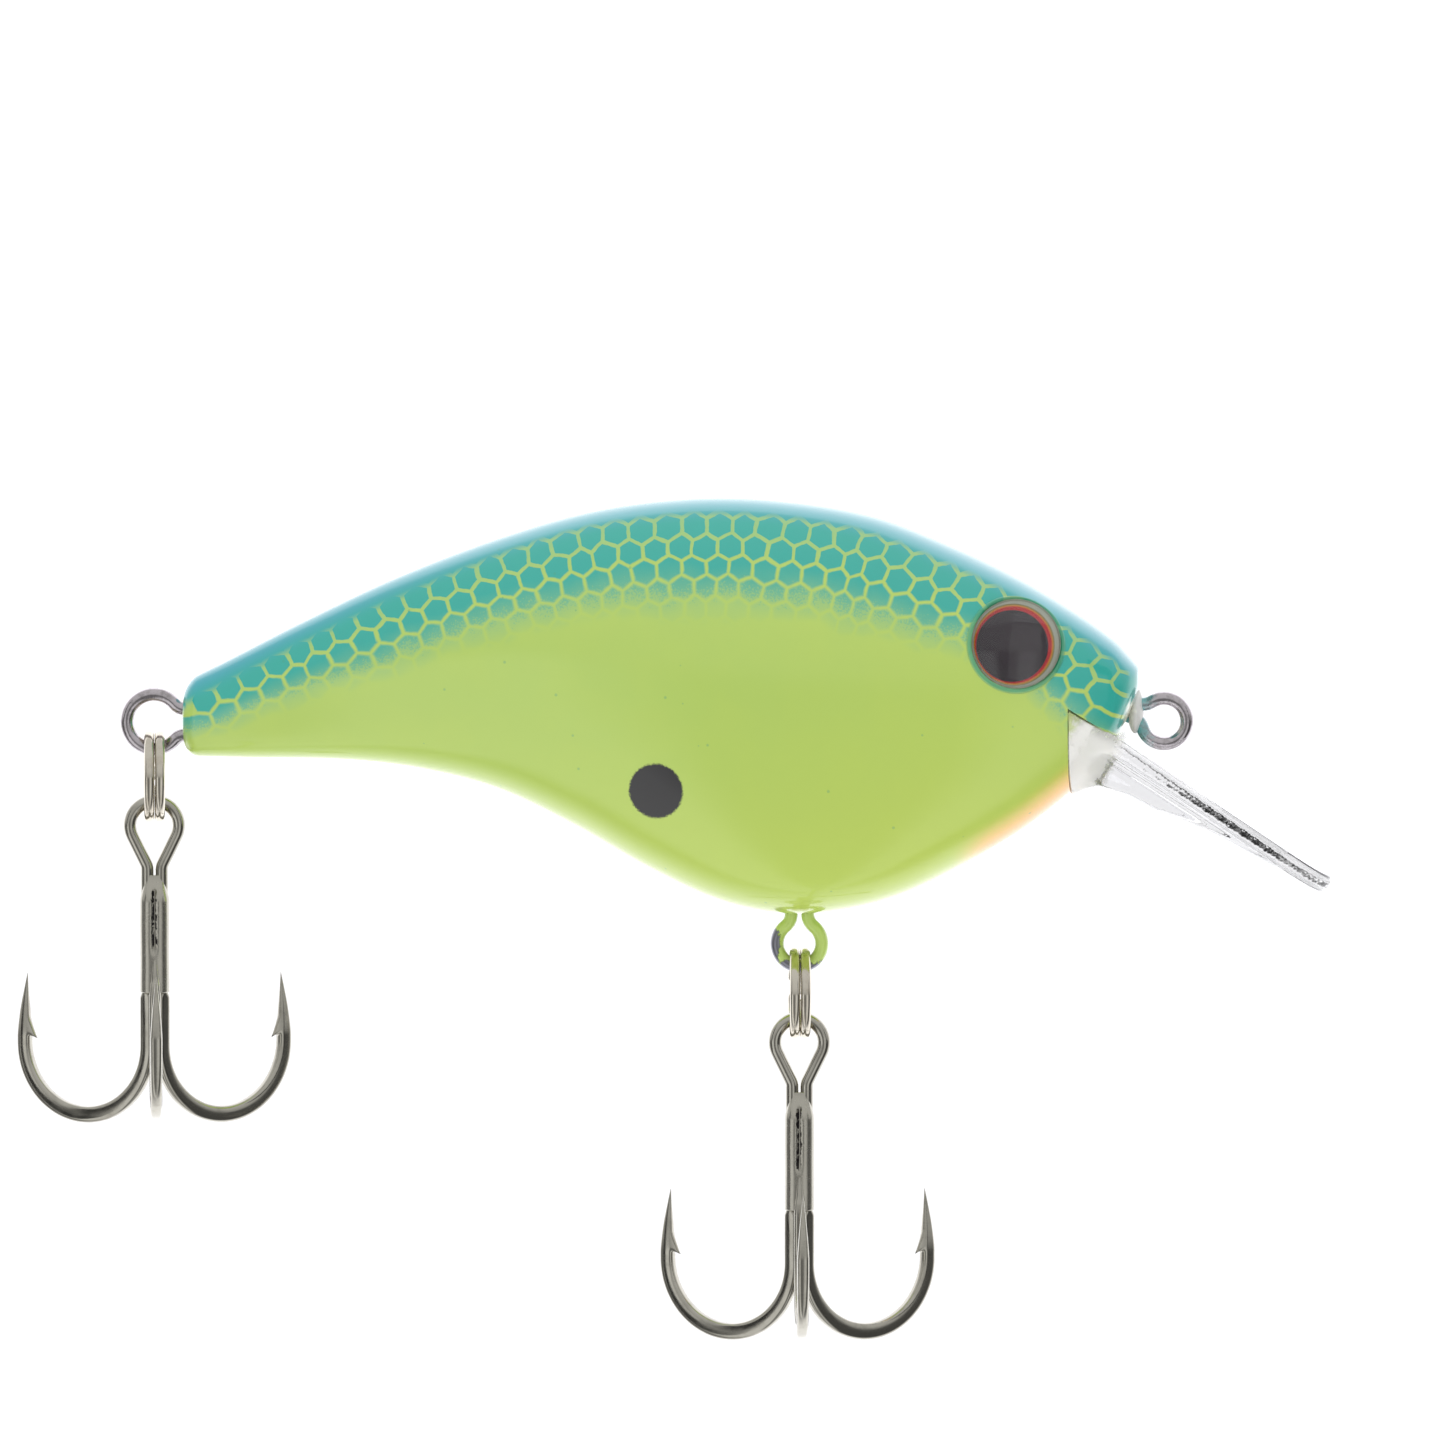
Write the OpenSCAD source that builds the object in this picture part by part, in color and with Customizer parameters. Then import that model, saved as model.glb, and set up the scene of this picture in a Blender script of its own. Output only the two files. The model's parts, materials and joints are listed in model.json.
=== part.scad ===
// Square-billed crankbait: hollow two-piece body, clear diving lip, bent-wire
// line tie and hangers, split rings and two brazed treble hooks.
// +X points to the nose, +Z up. The origin is the middle of the line-tie loop.

/* [Body] */
// Length of the body from the tail face to the nose
body_l = 62.4; // [50:0.1:76]
// Depth of the body from back to belly
body_h = 27; // [22.5:0.1:32.5]
// Width of the body across the flanks
body_w = 14.6; // [12:0.1:18]
// Wall of the hollow shells
wall = 1.4; // [1.1:0.1:1.7]
// Squareness of a section at the tail, 2 is an ellipse
tail_power = 2.2; // [2:0.1:3]
// Squareness of a section at the nose
nose_power = 3; // [2:0.1:3.6]
// Rounding of the tail end
tail_round = 1; // [0.6:0.1:1.4]
// Rounding of the nose end
nose_round = 1.6; // [1:0.1:2.2]
// Distance from the line-tie centre back to the nose
nose_reach = 1.6; // [1.5:0.05:1.8]
// Length of solid head in front of the hollow
head_solid = 10.9; // [10:0.1:12]
// Length of solid tail behind the hollow
tail_solid = 9.5; // [8.5:0.1:12]

/* [Wires] */
// Diameter of the line-tie and hanger wire
wire_d = 0.86; // [0.7:0.02:1]
// Clearance of a wire in its pocket
wire_gap = 0.07; // [0.03:0.01:0.1]
// Bend radius of a wire at its neck
neck_bend = 1; // [0.7:0.05:1.4]
// Mean radius of the line-tie loop
tie_r = 1.47; // [1.2:0.01:1.8]
// Gap between the line-tie legs
tie_gap = 0.14; // [0.06:0.01:0.5]
// Straight length of the line-tie legs
tie_neck = 4.4; // [4.2:0.1:5.4]
// Rise of the line-tie legs into the head
tie_rise = 20; // [17:0.5:22]
// Mean radius of the belly loop
belly_r = 1.45; // [1.4:0.01:1.9]
// Gap between the belly legs
belly_gap = 0.22; // [0.06:0.01:0.5]
// Straight length of the belly legs
belly_neck = 2.2; // [1.6:0.1:2.8]
// Distance from the nose back to the belly loop
belly_back = 22.1; // [21:0.1:25]
// Mean radius of the tail loop
tail_r = 1.78; // [1.5:0.01:2]
// Gap between the tail legs
tail_gap = 0.82; // [0.1:0.01:0.9]
// Straight length of the tail legs
tail_neck = 2.5; // [2:0.1:3.2]
// Height of the tail loop against the line tie
tail_level = -0.35; // [-0.8:0.05:0.2]
// Mean radius of the hidden anchor loops
anchor_r = 1.2; // [1.1:0.05:1.4]

/* [Diving lip] */
// Slope of the bill below the horizontal
lip_angle = 32.8; // [28:0.1:38]
// Distance from the nose back to the lip root
lip_back = 4.35; // [4:0.05:4.8]
// Height of the bill face at the root against the line tie
lip_level = 1.05; // [0.8:0.05:1.15]
// Length of the bill along its face from the root
lip_l = 19.6; // [15:0.1:24]
// Width of the bill at its square end
lip_w = 14.4; // [11:0.1:18]
// Width of the bill at the root
lip_root_w = 7; // [5.5:0.1:8]
// Thickness of the bill
lip_t = 1.15; // [0.9:0.05:1.4]
// Radius of the bill corners
lip_corner = 3.2; // [2:0.1:4]
// Width of the rib under the bill
rib_w = 3.6; // [2.5:0.1:5]
// Clearance of the lip in the body
lip_gap = 0.05; // [0.03:0.01:0.1]
// Length of the tenon behind the lip root
tenon_l = 3.6; // [3:0.1:4]
// Height of the tenon
tenon_h = 2.4; // [2:0.1:2.6]
// Width of the tenon
tenon_w = 4.6; // [4:0.1:5.4]
// Diameter of the pin through the tenon
tenon_pin_d = 1.3; // [1:0.1:1.4]

/* [Eyes] */
// Diameter of the eye lens
eye_d = 5.8; // [5:0.1:6.4]
// Distance from the nose back to the eye
eye_back = 7.65; // [7.4:0.05:8.4]
// Height of the eye against the line tie
eye_level = 5.25; // [4.6:0.05:5.6]
// Toe-in of the eye towards the nose
eye_toe = 7; // [0:0.5:12]
// Upward tilt of the eye
eye_tilt = 8; // [0:0.5:14]
// Depth of the eye socket
eye_deep = 1.1; // [0.9:0.05:1.3]
// Height of the lens above its rim
dome_h = 0.9; // [0.7:0.05:1.3]
// Thickness of the printed foil
foil_t = 0.2; // [0.1:0.05:0.3]
// Width of the raised rim round a socket
rim_w = 0.28; // [0.2:0.02:0.4]
// Clearance of lens and foil in the socket
eye_gap = 0.04; // [0.02:0.01:0.08]

/* [Ballast and rattles] */
// Diameter of the ballast slug
ballast_d = 6; // [5:0.1:6.6]
// Length of the ballast slug across the body
ballast_l = 6.4; // [4:0.1:6.8]
// Distance from the nose back to the ballast
ballast_back = 15.2; // [14.9:0.1:16]
// Wall of the ballast and rattle cups
cup_wall = 0.8; // [0.6:0.05:1]
// Clearance of the ballast in its cup
ballast_gap = 0.05; // [0.03:0.01:0.1]
// Diameter of a rattle ball
rattle_d = 4; // [3:0.1:4.2]
// Clearance round a rattle ball
rattle_gap = 0.15; // [0.1:0.01:0.25]
// Distance from the nose back to the first rattle
rattle_back = 29.6; // [29:0.1:30.5]
// Distance between the two rattles
rattle_pitch = 7.2; // [6.8:0.1:8]
// Diameter of the locating pins between the shells
dowel_d = 1.4; // [1.2:0.1:1.6]
// Clearance of a locating pin in its socket
dowel_gap = 0.05; // [0.03:0.01:0.1]

/* [Split rings] */
// Outer diameter of a split ring
ring_d = 6.13; // [5.8:0.01:7.2]
// Thickness of a coil
coil_d = 0.66; // [0.55:0.01:0.7]
// Gap between the two coils
coil_gap = 0.04; // [0.02:0.01:0.08]
// Play between a ring and its hanger
hang_gap = 0.19; // [0.15:0.01:0.25]
// Turn of the rings and trebles about the vertical, as they hang
hang_turn = 6; // [0:0.5:8]

/* [Treble hooks] */
// Diameter of the hook wire
hook_d = 0.83; // [0.7:0.01:0.9]
// Mean radius of the hook eye
eyelet_r = 1.59; // [1.5:0.01:1.8]
// Play between a hook eye and its ring
eyelet_gap = 0.36; // [0.3:0.01:0.4]
// Half angle of the teardrop below the eye
eyelet_taper = 26; // [20:1:32]
// Half the distance between the paired shanks
shank_half = 0.47; // [0.46:0.01:0.5]
// Distance of the third shank from the pair
third_out = 0.83; // [0.82:0.01:0.9]
// Depth from the eye centre to the start of the bend
shank_l = 14.5; // [12:0.1:17.5]
// Depth from the eye centre to the top of the third shank
third_top = 3.5; // [3.2:0.1:4.5]
// Depth from the eye centre to the end of the braze
braze_end = 11.1; // [9:0.1:11.5]
// Radius of the hook bend
bend_r = 4.57; // [3.8:0.01:5.2]
// Straight length above the bend
arm_l = 1; // [0.5:0.1:2]
// Length of the point
point_l = 3.5; // [3:0.1:4]
// Length of the barb
barb_l = 0.9; // [0.6:0.1:1.2]

/* [Hidden] */

$fn = 48;

// Outlines as [share of the length from the tail, share of the depth].
BACK = [
    [0, 0.085], [0.04, 0.13], [0.12, 0.225], [0.22, 0.335], [0.33, 0.434], [0.43, 0.501],
    [0.53, 0.532], [0.62, 0.529], [0.72, 0.493], [0.8, 0.425], [0.88, 0.337], [0.95, 0.238], [1, 0.15]
];
BELLY = [
    [0, -0.095], [0.06, -0.098], [0.17, -0.102], [0.25, -0.123], [0.33, -0.17], [0.41, -0.256],
    [0.49, -0.36], [0.56, -0.434], [0.62, -0.465], [0.68, -0.462], [0.75, -0.423], [0.82, -0.345],
    [0.88, -0.262], [0.93, -0.172], [0.96, -0.105], [0.985, -0.015], [1, 0.06]
];
// Plan outline as [share of the length, share of the half width].
PLAN = [
    [0, 0.25], [0.06, 0.33], [0.18, 0.47], [0.3, 0.66], [0.42, 0.84], [0.54, 0.96],
    [0.64, 1], [0.75, 0.985], [0.85, 0.91], [0.93, 0.76], [1, 0.5]
];

nose_x = -nose_reach;
tail_x = nose_x - body_l;
// Share of the section that is left as a flat at each end.
tail_flat = 0.6;
nose_flat = 0.5;
cap_steps = 3;
outer_steps = 34;
outer_sides = 18;
inner_steps = 22;
inner_sides = 12;
lip_steps = 9;
overcut = 0.5;

// Smooth curve through outline points, each slope taken from its neighbours.
function span(p, u, i = 0) = (i < len(p) - 2 && u > p[i + 1][0]) ? span(p, u, i + 1) : i;
function steep(p, i) =
    let (a = max(i - 1, 0), b = min(i + 1, len(p) - 1))
    (p[b][1] - p[a][1]) / (p[b][0] - p[a][0]);
function curve(p, u) =
    let (i = span(p, u), h = p[i + 1][0] - p[i][0], t = (u - p[i][0]) / h)
    (2 * t ^ 3 - 3 * t ^ 2 + 1) * p[i][1] + (t ^ 3 - 2 * t ^ 2 + t) * steep(p, i) * h
    + (3 * t ^ 2 - 2 * t ^ 3) * p[i + 1][1] + (t ^ 3 - t ^ 2) * steep(p, i + 1) * h;

function share(x) = (x - tail_x) / body_l;
function back_z(x) = body_h * curve(BACK, share(x));
function belly_z(x) = body_h * curve(BELLY, share(x));
function mid_z(x) = (back_z(x) + belly_z(x)) / 2;
function half_h(x) = (back_z(x) - belly_z(x)) / 2;
function half_w(x) = body_w / 2 * curve(PLAN, share(x));
function power(x) = tail_power + (nose_power - tail_power) * share(x);
// Half width of the outer surface at height z.
function flank(x, z) =
    half_w(x) * max(0, 1 - abs((z - mid_z(x)) / half_h(x)) ^ power(x)) ^ (1 / power(x));

// One point of a section: a super-ellipse on the ray at angle a from the flank,
// shrunk by the factor s and moved inwards by the thickness t.
function rim_point(x, a, s, t) =
    let (k = (abs(cos(a)) ^ power(x) + abs(sin(a)) ^ power(x)) ^ (1 / power(x)))
    [x, (s * half_w(x) - t) * cos(a) / k, mid_z(x) + (s * half_h(x) - t) * sin(a) / k];
function section(x, s, t, n, side) = [
    for (j = [0:n]) let (p = rim_point(x, 90 - 180 * j / n, s, t)) [p[0], side * p[1], p[2]]
];

// Stations as [x, share of the full section], rounded over at both ends.
function cap(x, r, flat, dir, i) = [x + dir * r * (1 - cos(90 * i / cap_steps)),
    flat + (1 - flat) * sin(90 * i / cap_steps)];
function stations(from, n) = concat(
    from > tail_x ? [[from, 1]] : [for (i = [0:cap_steps]) cap(tail_x, tail_round, tail_flat, 1, i)],
    let (a = max(from, tail_x + tail_round), b = nose_x - nose_round)
        [for (i = [1:n - 1]) [a + (b - a) * i / n, 1]],
    [for (i = [cap_steps:-1:0]) cap(nose_x, nose_round, nose_flat, -1, i)]
);

// Closed half solid from a list of half sections that start and end on one plane.
module loft(rings) {
    n = len(rings[0]);
    m = len(rings);
    polyhedron(
        points = [for (r = rings) each r],
        faces = concat(
            [for (i = [0:m - 2]) for (j = [0:n - 2]) each [
                [i * n + j, i * n + j + 1, (i + 1) * n + j],
                [i * n + j + 1, (i + 1) * n + j + 1, (i + 1) * n + j]
            ]],
            [for (i = [0:m - 2]) [i * n, (i + 1) * n, (i + 1) * n + n - 1, i * n + n - 1]],
            [[for (j = [n - 1:-1:0]) j], [for (j = [0:n - 1]) (m - 1) * n + j]]
        )
    );
}

// Half of the outer form on the +Y side, from x = from to the nose.
module outer_half(from, n) {
    loft([for (s = stations(from, n)) section(s[0], s[1], 0, outer_sides, 1)]);
}

// Half of the hollow, carried past the joint plane so that it cuts cleanly.
module inner_half() {
    a = tail_x + tail_solid;
    b = nose_x - head_solid;
    loft([
        for (i = [0:inner_steps])
            let (x = a + (b - a) * i / inner_steps, s = section(x, 1, wall, inner_sides, 1))
            concat([[x, -overcut, s[0][2]]], s, [[x, -overcut, s[inner_sides][2]]])
    ]);
}

// Cylinder along Y from the joint plane outwards on the +Y side.
module cross_bar(x, z, d, from, to) {
    translate([x, from, z]) rotate([-90, 0, 0]) cylinder(h = to - from, d = d);
}

/* ---- bent wires ---- */

// Thin collar along X that joins two stretches of wire, a hair wider than the wire.
collar_d = 1.02;
collar_l = 0.12;
module wire_collar(d) {
    rotate([0, 90, 0]) translate([0, 0, -collar_l / 2]) cylinder(h = collar_l, d = collar_d * d);
}

// Wire that follows a list of steps [length, 0] or [radius, turn] in the XY plane,
// starting along +X. A positive turn is to the left.
module bent_wire(d, steps, i = 0) {
    if (i < len(steps)) {
        size = steps[i][0];
        turn = steps[i][1];
        side = sign(turn);
        if (i > 0) wire_collar(d);
        if (turn == 0) {
            rotate([0, 90, 0]) cylinder(h = size, d = d);
            translate([size, 0, 0]) bent_wire(d, steps, i + 1);
        } else {
            translate([0, side * size, 0]) {
                rotate([0, 0, side > 0 ? -90 : 90 - abs(turn)])
                    rotate_extrude(angle = abs(turn)) translate([size, 0]) circle(d = d);
                rotate([0, 0, turn]) translate([0, -side * size, 0]) bent_wire(d, steps, i + 1);
            }
        }
    }
}

// Half the distance between the middle lines of the legs.
tie_half = (wire_d + tie_gap) / 2;
belly_half = (wire_d + belly_gap) / 2;
tail_half = (wire_d + tail_gap) / 2;

// Angle at which a loop of radius r runs into the neck bend.
function neck_angle(r, half) = asin((half + neck_bend) / (r + neck_bend));
// Distance from the centre of a loop to the start of the straight legs.
function neck_reach(r, half) = sqrt((r + neck_bend) ^ 2 - (half + neck_bend) ^ 2);
// Distance between the centres of the outer loop and the anchor loop.
function anchor_reach(r, half, neck) = neck_reach(r, half) + neck + neck_reach(anchor_r, half);
// Gap between the wire ends at the far side of the anchor loop, as an angle.
anchor_open = 8;

// Hanger: an outer loop at the origin, two legs along +X and an anchor loop.
module hanger(r, half, neck) {
    a = neck_angle(r, half);
    b = neck_angle(anchor_r, half);
    steps = [
        [anchor_r, 180 - b - anchor_open], [neck_bend, b - 90], [neck, 0], [neck_bend, a - 90],
        [r, 360 - 2 * a],
        [neck_bend, a - 90], [neck, 0], [neck_bend, b - 90], [anchor_r, 180 - b - anchor_open]
    ];
    rotate([90, 0, 0])
        translate([anchor_reach(r, half, neck), 0, 0])
            rotate([0, 0, anchor_open]) translate([anchor_r, 0, 0]) rotate([0, 0, 90])
                bent_wire(wire_d, steps);
}

// Pocket for a hanger, with a post left standing in the anchor loop.
module hanger_pocket(r, half, neck) {
    reach = anchor_reach(r, half, neck);
    thick = wire_d + 2 * wire_gap;
    wide = 2 * half + wire_d + 2 * wire_gap;
    difference() {
        union() {
            translate([neck_reach(r, half) - wire_d, -thick / 2, -wide / 2])
                cube([reach - neck_reach(r, half) + wire_d, thick, wide]);
            translate([reach, thick / 2, 0]) rotate([90, 0, 0])
                cylinder(h = thick, r = anchor_r + wire_d / 2 + wire_gap);
        }
        translate([reach, thick, 0]) rotate([90, 0, 0])
            cylinder(h = 2 * thick, r = anchor_r - wire_d / 2 - wire_gap);
    }
}

belly_x = nose_x - belly_back;
belly_loop_z = belly_z(belly_x) - neck_reach(belly_r, belly_half) - wire_gap;
tail_loop_x = tail_x - neck_reach(tail_r, tail_half) + wire_gap;
anchor_boss_d = 2 * anchor_r + wire_d + 2 * cup_wall + 2 * wire_gap;

module at_line_tie() { rotate([0, 180 + tie_rise, 0]) children(); }
module at_belly() { translate([belly_x, 0, belly_loop_z]) rotate([0, -90, 0]) children(); }
module at_tail() { translate([tail_loop_x, 0, tail_level]) children(); }

module line_tie() { color("silver") at_line_tie() hanger(tie_r, tie_half, tie_neck); }
module belly_hanger() { color("yellowgreen") at_belly() hanger(belly_r, belly_half, belly_neck); }
module tail_hanger() { color("silver") at_tail() hanger(tail_r, tail_half, tail_neck); }

/* ---- body shells ---- */

ballast_x = nose_x - ballast_back;
ballast_z = belly_z(ballast_x) + wall + cup_wall + ballast_d / 2;
ballast_cup_d = ballast_d + 2 * ballast_gap + 2 * cup_wall;
rattle_xs = [nose_x - rattle_back, nose_x - rattle_back - rattle_pitch];
rattle_cup_d = rattle_d + 2 * rattle_gap + 2 * cup_wall;
// Half length of a rattle chamber, from the narrower edge of its bore.
function rattle_run(x) =
    min(flank(x, mid_z(x) + rattle_cup_d / 2), flank(x, mid_z(x) - rattle_cup_d / 2)) - wall;

// Locating pins: behind the rattles, above and below the first rattle.
dowel_boss_d = dowel_d + 2 * dowel_gap + 2 * cup_wall;
dowel_deep = 1.2;
dowel_xs = [rattle_xs[1] - rattle_pitch, (rattle_xs[0] + belly_x) / 2, rattle_xs[0] - rattle_pitch / 2];
dowels = [
    [dowel_xs[0], mid_z(dowel_xs[0])],
    [dowel_xs[1], back_z(dowel_xs[1]) - wall - dowel_boss_d],
    [dowel_xs[2], belly_z(dowel_xs[2]) + wall + dowel_boss_d / 2]
];

belly_anchor_z = belly_loop_z + anchor_reach(belly_r, belly_half, belly_neck);
lip_x = nose_x - lip_back;
tenon_z = -tenon_h;
tenon_pin_x = lip_x - tenon_l / 2;

module eye_place() {
    x = nose_x - eye_back;
    translate([x, flank(x, eye_level), eye_level])
        rotate([0, 0, -eye_toe]) rotate([eye_tilt - 90, 0, 0]) children();
}

// Space below the face of the bill and ahead of the lip root.
module lip_notch(gap) {
    far = nose_reach + body_w;
    drop = (far - lip_x) * tan(lip_angle);
    translate([0, body_w, 0]) rotate([90, 0, 0]) linear_extrude(height = 2 * body_w)
        polygon([
            [lip_x + gap, lip_level - gap], [far, lip_level - gap - drop],
            [far, -body_h], [lip_x + gap, -body_h]
        ]);
}

module tenon(gap) {
    translate([lip_x - tenon_l - gap, -tenon_w / 2 - gap, tenon_z - tenon_h / 2 - gap])
        cube([tenon_l + 2 * wall, tenon_w + 2 * gap, tenon_h + 2 * gap]);
}

// Everything that stands inside the hollow on the +Y side.
module bosses() {
    cross_bar(ballast_x, ballast_z, ballast_cup_d, -2 * overcut, body_w);
    for (x = rattle_xs) cross_bar(x, mid_z(x), rattle_cup_d, -2 * overcut, body_w);
    for (p = dowels) cross_bar(p[0], p[1], dowel_boss_d, -2 * overcut, body_w);
    cross_bar(belly_x, belly_anchor_z, anchor_boss_d, -2 * overcut, body_w);
}

module body_half() {
    socket_d = eye_d + 2 * eye_gap;
    difference() {
        union() {
            outer_half(tail_x, outer_steps);
            eye_place() translate([0, 0, -eye_deep - wall])
                cylinder(h = eye_deep + wall, d = socket_d + 2 * rim_w);
        }
        difference() {
            inner_half();
            bosses();
        }
        lip_notch(0);
        difference() {
            tenon(lip_gap);
            cross_bar(tenon_pin_x, tenon_z, tenon_pin_d, -overcut, body_w);
        }
        at_line_tie() hanger_pocket(tie_r, tie_half, tie_neck);
        at_belly() hanger_pocket(belly_r, belly_half, belly_neck);
        at_tail() hanger_pocket(tail_r, tail_half, tail_neck);
        eye_place() translate([0, 0, -eye_deep]) cylinder(h = 2 * eye_deep, d = socket_d);
        cross_bar(ballast_x, ballast_z, ballast_d + 2 * ballast_gap, -overcut, ballast_l / 2 + ballast_gap);
        for (x = rattle_xs) cross_bar(x, mid_z(x), rattle_d + 2 * rattle_gap, -overcut, rattle_run(x));
    }
}

module body_left() {
    color("yellowgreen") union() {
        body_half();
        for (p = dowels) cross_bar(p[0], p[1], dowel_d, -dowel_deep, dowel_deep);
    }
}

module body_right() {
    color("yellowgreen") mirror([0, 1, 0]) difference() {
        body_half();
        for (p = dowels)
            cross_bar(p[0], p[1], dowel_d + 2 * dowel_gap, -overcut, dowel_deep + dowel_gap);
    }
}

/* ---- diving lip ---- */

// Arc of radius r that rounds the corner b between a and c.
function corner(a, b, c, r, n) =
    let (
        u = (a - b) / norm(a - b), v = (c - b) / norm(c - b),
        h = acos(u * v) / 2, m = (u + v) / norm(u + v), o = b + m * r / sin(h),
        p = b + u * r / tan(h) - o, q = b + v * r / tan(h) - o,
        w = acos(p * q / (r * r))
    )
    [for (i = [0:n]) o + (sin(w * (1 - i / n)) * p + sin(w * i / n) * q) / sin(w)];

// Bill from its root, carried back far enough to be cut off square by the notch.
module bill() {
    root = [[-lip_t, lip_root_w / 2], [-lip_t, -lip_root_w / 2]];
    tip = [[lip_l, -lip_w / 2], [lip_l, lip_w / 2]];
    translate([0, 0, -lip_t]) linear_extrude(height = lip_t)
        polygon(concat(
            root,
            corner(root[1], tip[0], tip[1], lip_corner, 8),
            corner(tip[0], tip[1], root[0], lip_corner, 8)
        ));
}

// Rib that carries the bill, a wedge that thins out towards the square end.
module rib() {
    root_z = belly_z(lip_x) + lip_t / 2;
    translate([0, rib_w / 2, 0]) rotate([90, 0, 0]) linear_extrude(height = rib_w)
        polygon([
            [lip_x, lip_level - lip_t],
            [lip_x + lip_l * cos(lip_angle) / 2 + lip_t, lip_level - lip_t - lip_l * sin(lip_angle) / 2],
            [lip_x + 2 * lip_t, root_z],
            [lip_x, root_z]
        ]);
}

module diving_lip() {
    color("whitesmoke", 0.4) difference() {
        union() {
            intersection() {
                union() {
                    outer_half(lip_x - lip_back, lip_steps);
                    mirror([0, 1, 0]) outer_half(lip_x - lip_back, lip_steps);
                    translate([lip_x, 0, lip_level - 2 * lip_gap]) rotate([0, lip_angle, 0]) bill();
                    rib();
                }
                lip_notch(lip_gap);
            }
            tenon(0);
        }
        translate([0, tenon_w, 0])
            mirror([0, 1, 0]) cross_bar(tenon_pin_x, tenon_z, tenon_pin_d + 2 * lip_gap, 0, 2 * tenon_w);
    }
}

/* ---- eyes ---- */

module eye_foil() { eye_place() translate([0, 0, -eye_deep]) cylinder(h = foil_t, d = eye_d); }

module eye_lens() {
    r = (eye_d ^ 2 / 4 + dome_h ^ 2) / (2 * dome_h);
    base = foil_t - eye_deep;
    eye_place() intersection() {
        translate([0, 0, base]) cylinder(h = dome_h - base, d = eye_d);
        translate([0, 0, dome_h - r]) sphere(r = r, $fn = 96);
    }
}

module eye_foil_left() { color("black") eye_foil(); }
module eye_foil_right() { color("black") mirror([0, 1, 0]) eye_foil(); }
module eye_lens_left() { color("maroon", 0.5) eye_lens(); }
module eye_lens_right() { color("maroon", 0.5) mirror([0, 1, 0]) eye_lens(); }

/* ---- ballast and rattles ---- */

module ballast_slug() {
    color("dimgray") translate([0, -ballast_l / 2, 0])
        cross_bar(ballast_x, ballast_z, ballast_d, 0, ballast_l);
}

module rattle_ball(i) {
    color("lightgray") translate([rattle_xs[i], 0, mid_z(rattle_xs[i])]) sphere(d = rattle_d);
}

module rattle_ball_front() { rattle_ball(0); }
module rattle_ball_rear() { rattle_ball(1); }

/* ---- split rings and trebles ---- */

coil_r = (ring_d - coil_d) / 2;
coil_pitch = coil_d + coil_gap;
// Angle over which one coil crosses to the other.
cross_angle = 20;
// Depth below the wire of a hanger loop to the ring centre and to the hook pivot.
ring_drop = coil_r - coil_d / 2 - hang_gap - wire_d / 2;
pivot_drop = ring_drop + coil_r;
// Height of the hook pivot above the centre of the hook eye.
eyelet_drop = eyelet_r - hook_d / 2 - eyelet_gap - coil_d / 2;

belly_wire_z = belly_loop_z - belly_r;
tail_wire_z = tail_level - tail_r;

// Ring in the YZ plane round the origin: two coils and the crossing between them.
module split_ring() {
    rotate([0, 90, 0]) {
        for (s = [-0.5, 0.5]) translate([0, 0, s * coil_pitch])
            rotate_extrude() translate([coil_r, 0]) circle(d = coil_d);
        rotate([0, 0, 90 - cross_angle / 2]) rotate_extrude(angle = cross_angle)
            translate([coil_r - coil_d / 4, -coil_pitch / 2]) square([coil_d / 2, coil_pitch]);
    }
}

// One hook from the start of its bend: it turns towards +X and ends in a barbed point.
module hook_arm() {
    rotate([90, 0, 0]) rotate([0, 0, -90]) bent_wire(hook_d, [[bend_r, 180], [arm_l, 0]]);
    rotate([0, 90, 0]) wire_collar(hook_d);
    translate([2 * bend_r, 0, arm_l]) {
        rotate([0, 90, 0]) wire_collar(hook_d);
        cylinder(h = point_l, d1 = hook_d, d2 = hook_d / 12);
        translate([-hook_d / 3, hook_d / 8, 0]) rotate([90, 0, 0]) linear_extrude(height = hook_d / 4)
            polygon([[0, 0], [-hook_d / 2.4, -hook_d / 8], [hook_d / 4, barb_l]]);
    }
}

// Bend between the teardrop and the shank, straight flank of the teardrop, depth to the shanks.
eyelet_bend = 1;
flank_l = (eyelet_r * cos(eyelet_taper) - shank_half - eyelet_bend * (1 - cos(eyelet_taper)))
    / sin(eyelet_taper);
shank_top = (eyelet_r + eyelet_bend) * sin(eyelet_taper) + flank_l * cos(eyelet_taper);
// Directions of the three arms in plan, a third of a turn apart.
arm_dirs = [30, 150, -90];

// Two hooks bent from one wire, with the eye at the origin and the shanks along -Z.
module hook_pair() {
    shank = shank_l - shank_top;
    translate([-shank_half, 0, -shank_l]) rotate([90, 0, 0]) rotate([0, 0, 90])
        bent_wire(hook_d, [
            [shank, 0], [eyelet_bend, eyelet_taper], [flank_l, 0], [eyelet_r, -180 - 2 * eyelet_taper],
            [flank_l, 0], [eyelet_bend, eyelet_taper], [shank, 0]
        ]);
    translate([shank_half, 0, -shank_l]) rotate([0, 0, arm_dirs[0]]) hook_arm();
    translate([-shank_half, 0, -shank_l]) rotate([0, 0, arm_dirs[1]]) hook_arm();
}

// Single hook laid against the pair.
module hook_third() {
    translate([0, -third_out, -shank_l]) {
        cylinder(h = shank_l - third_top, d = hook_d);
        rotate([0, 0, arm_dirs[2]]) hook_arm();
    }
}

// Braze that fills the groove between the three shanks.
module hook_braze() {
    mid = -third_out / 3;
    difference() {
        translate([0, mid, -braze_end]) cylinder(h = braze_end - third_top - hook_d / 2, d = 1.2 * hook_d);
        for (x = [-shank_half, shank_half]) translate([x, 0, -shank_l]) cylinder(h = shank_l, d = hook_d);
        translate([0, -third_out, -shank_l]) cylinder(h = shank_l, d = hook_d);
    }
}

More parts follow.
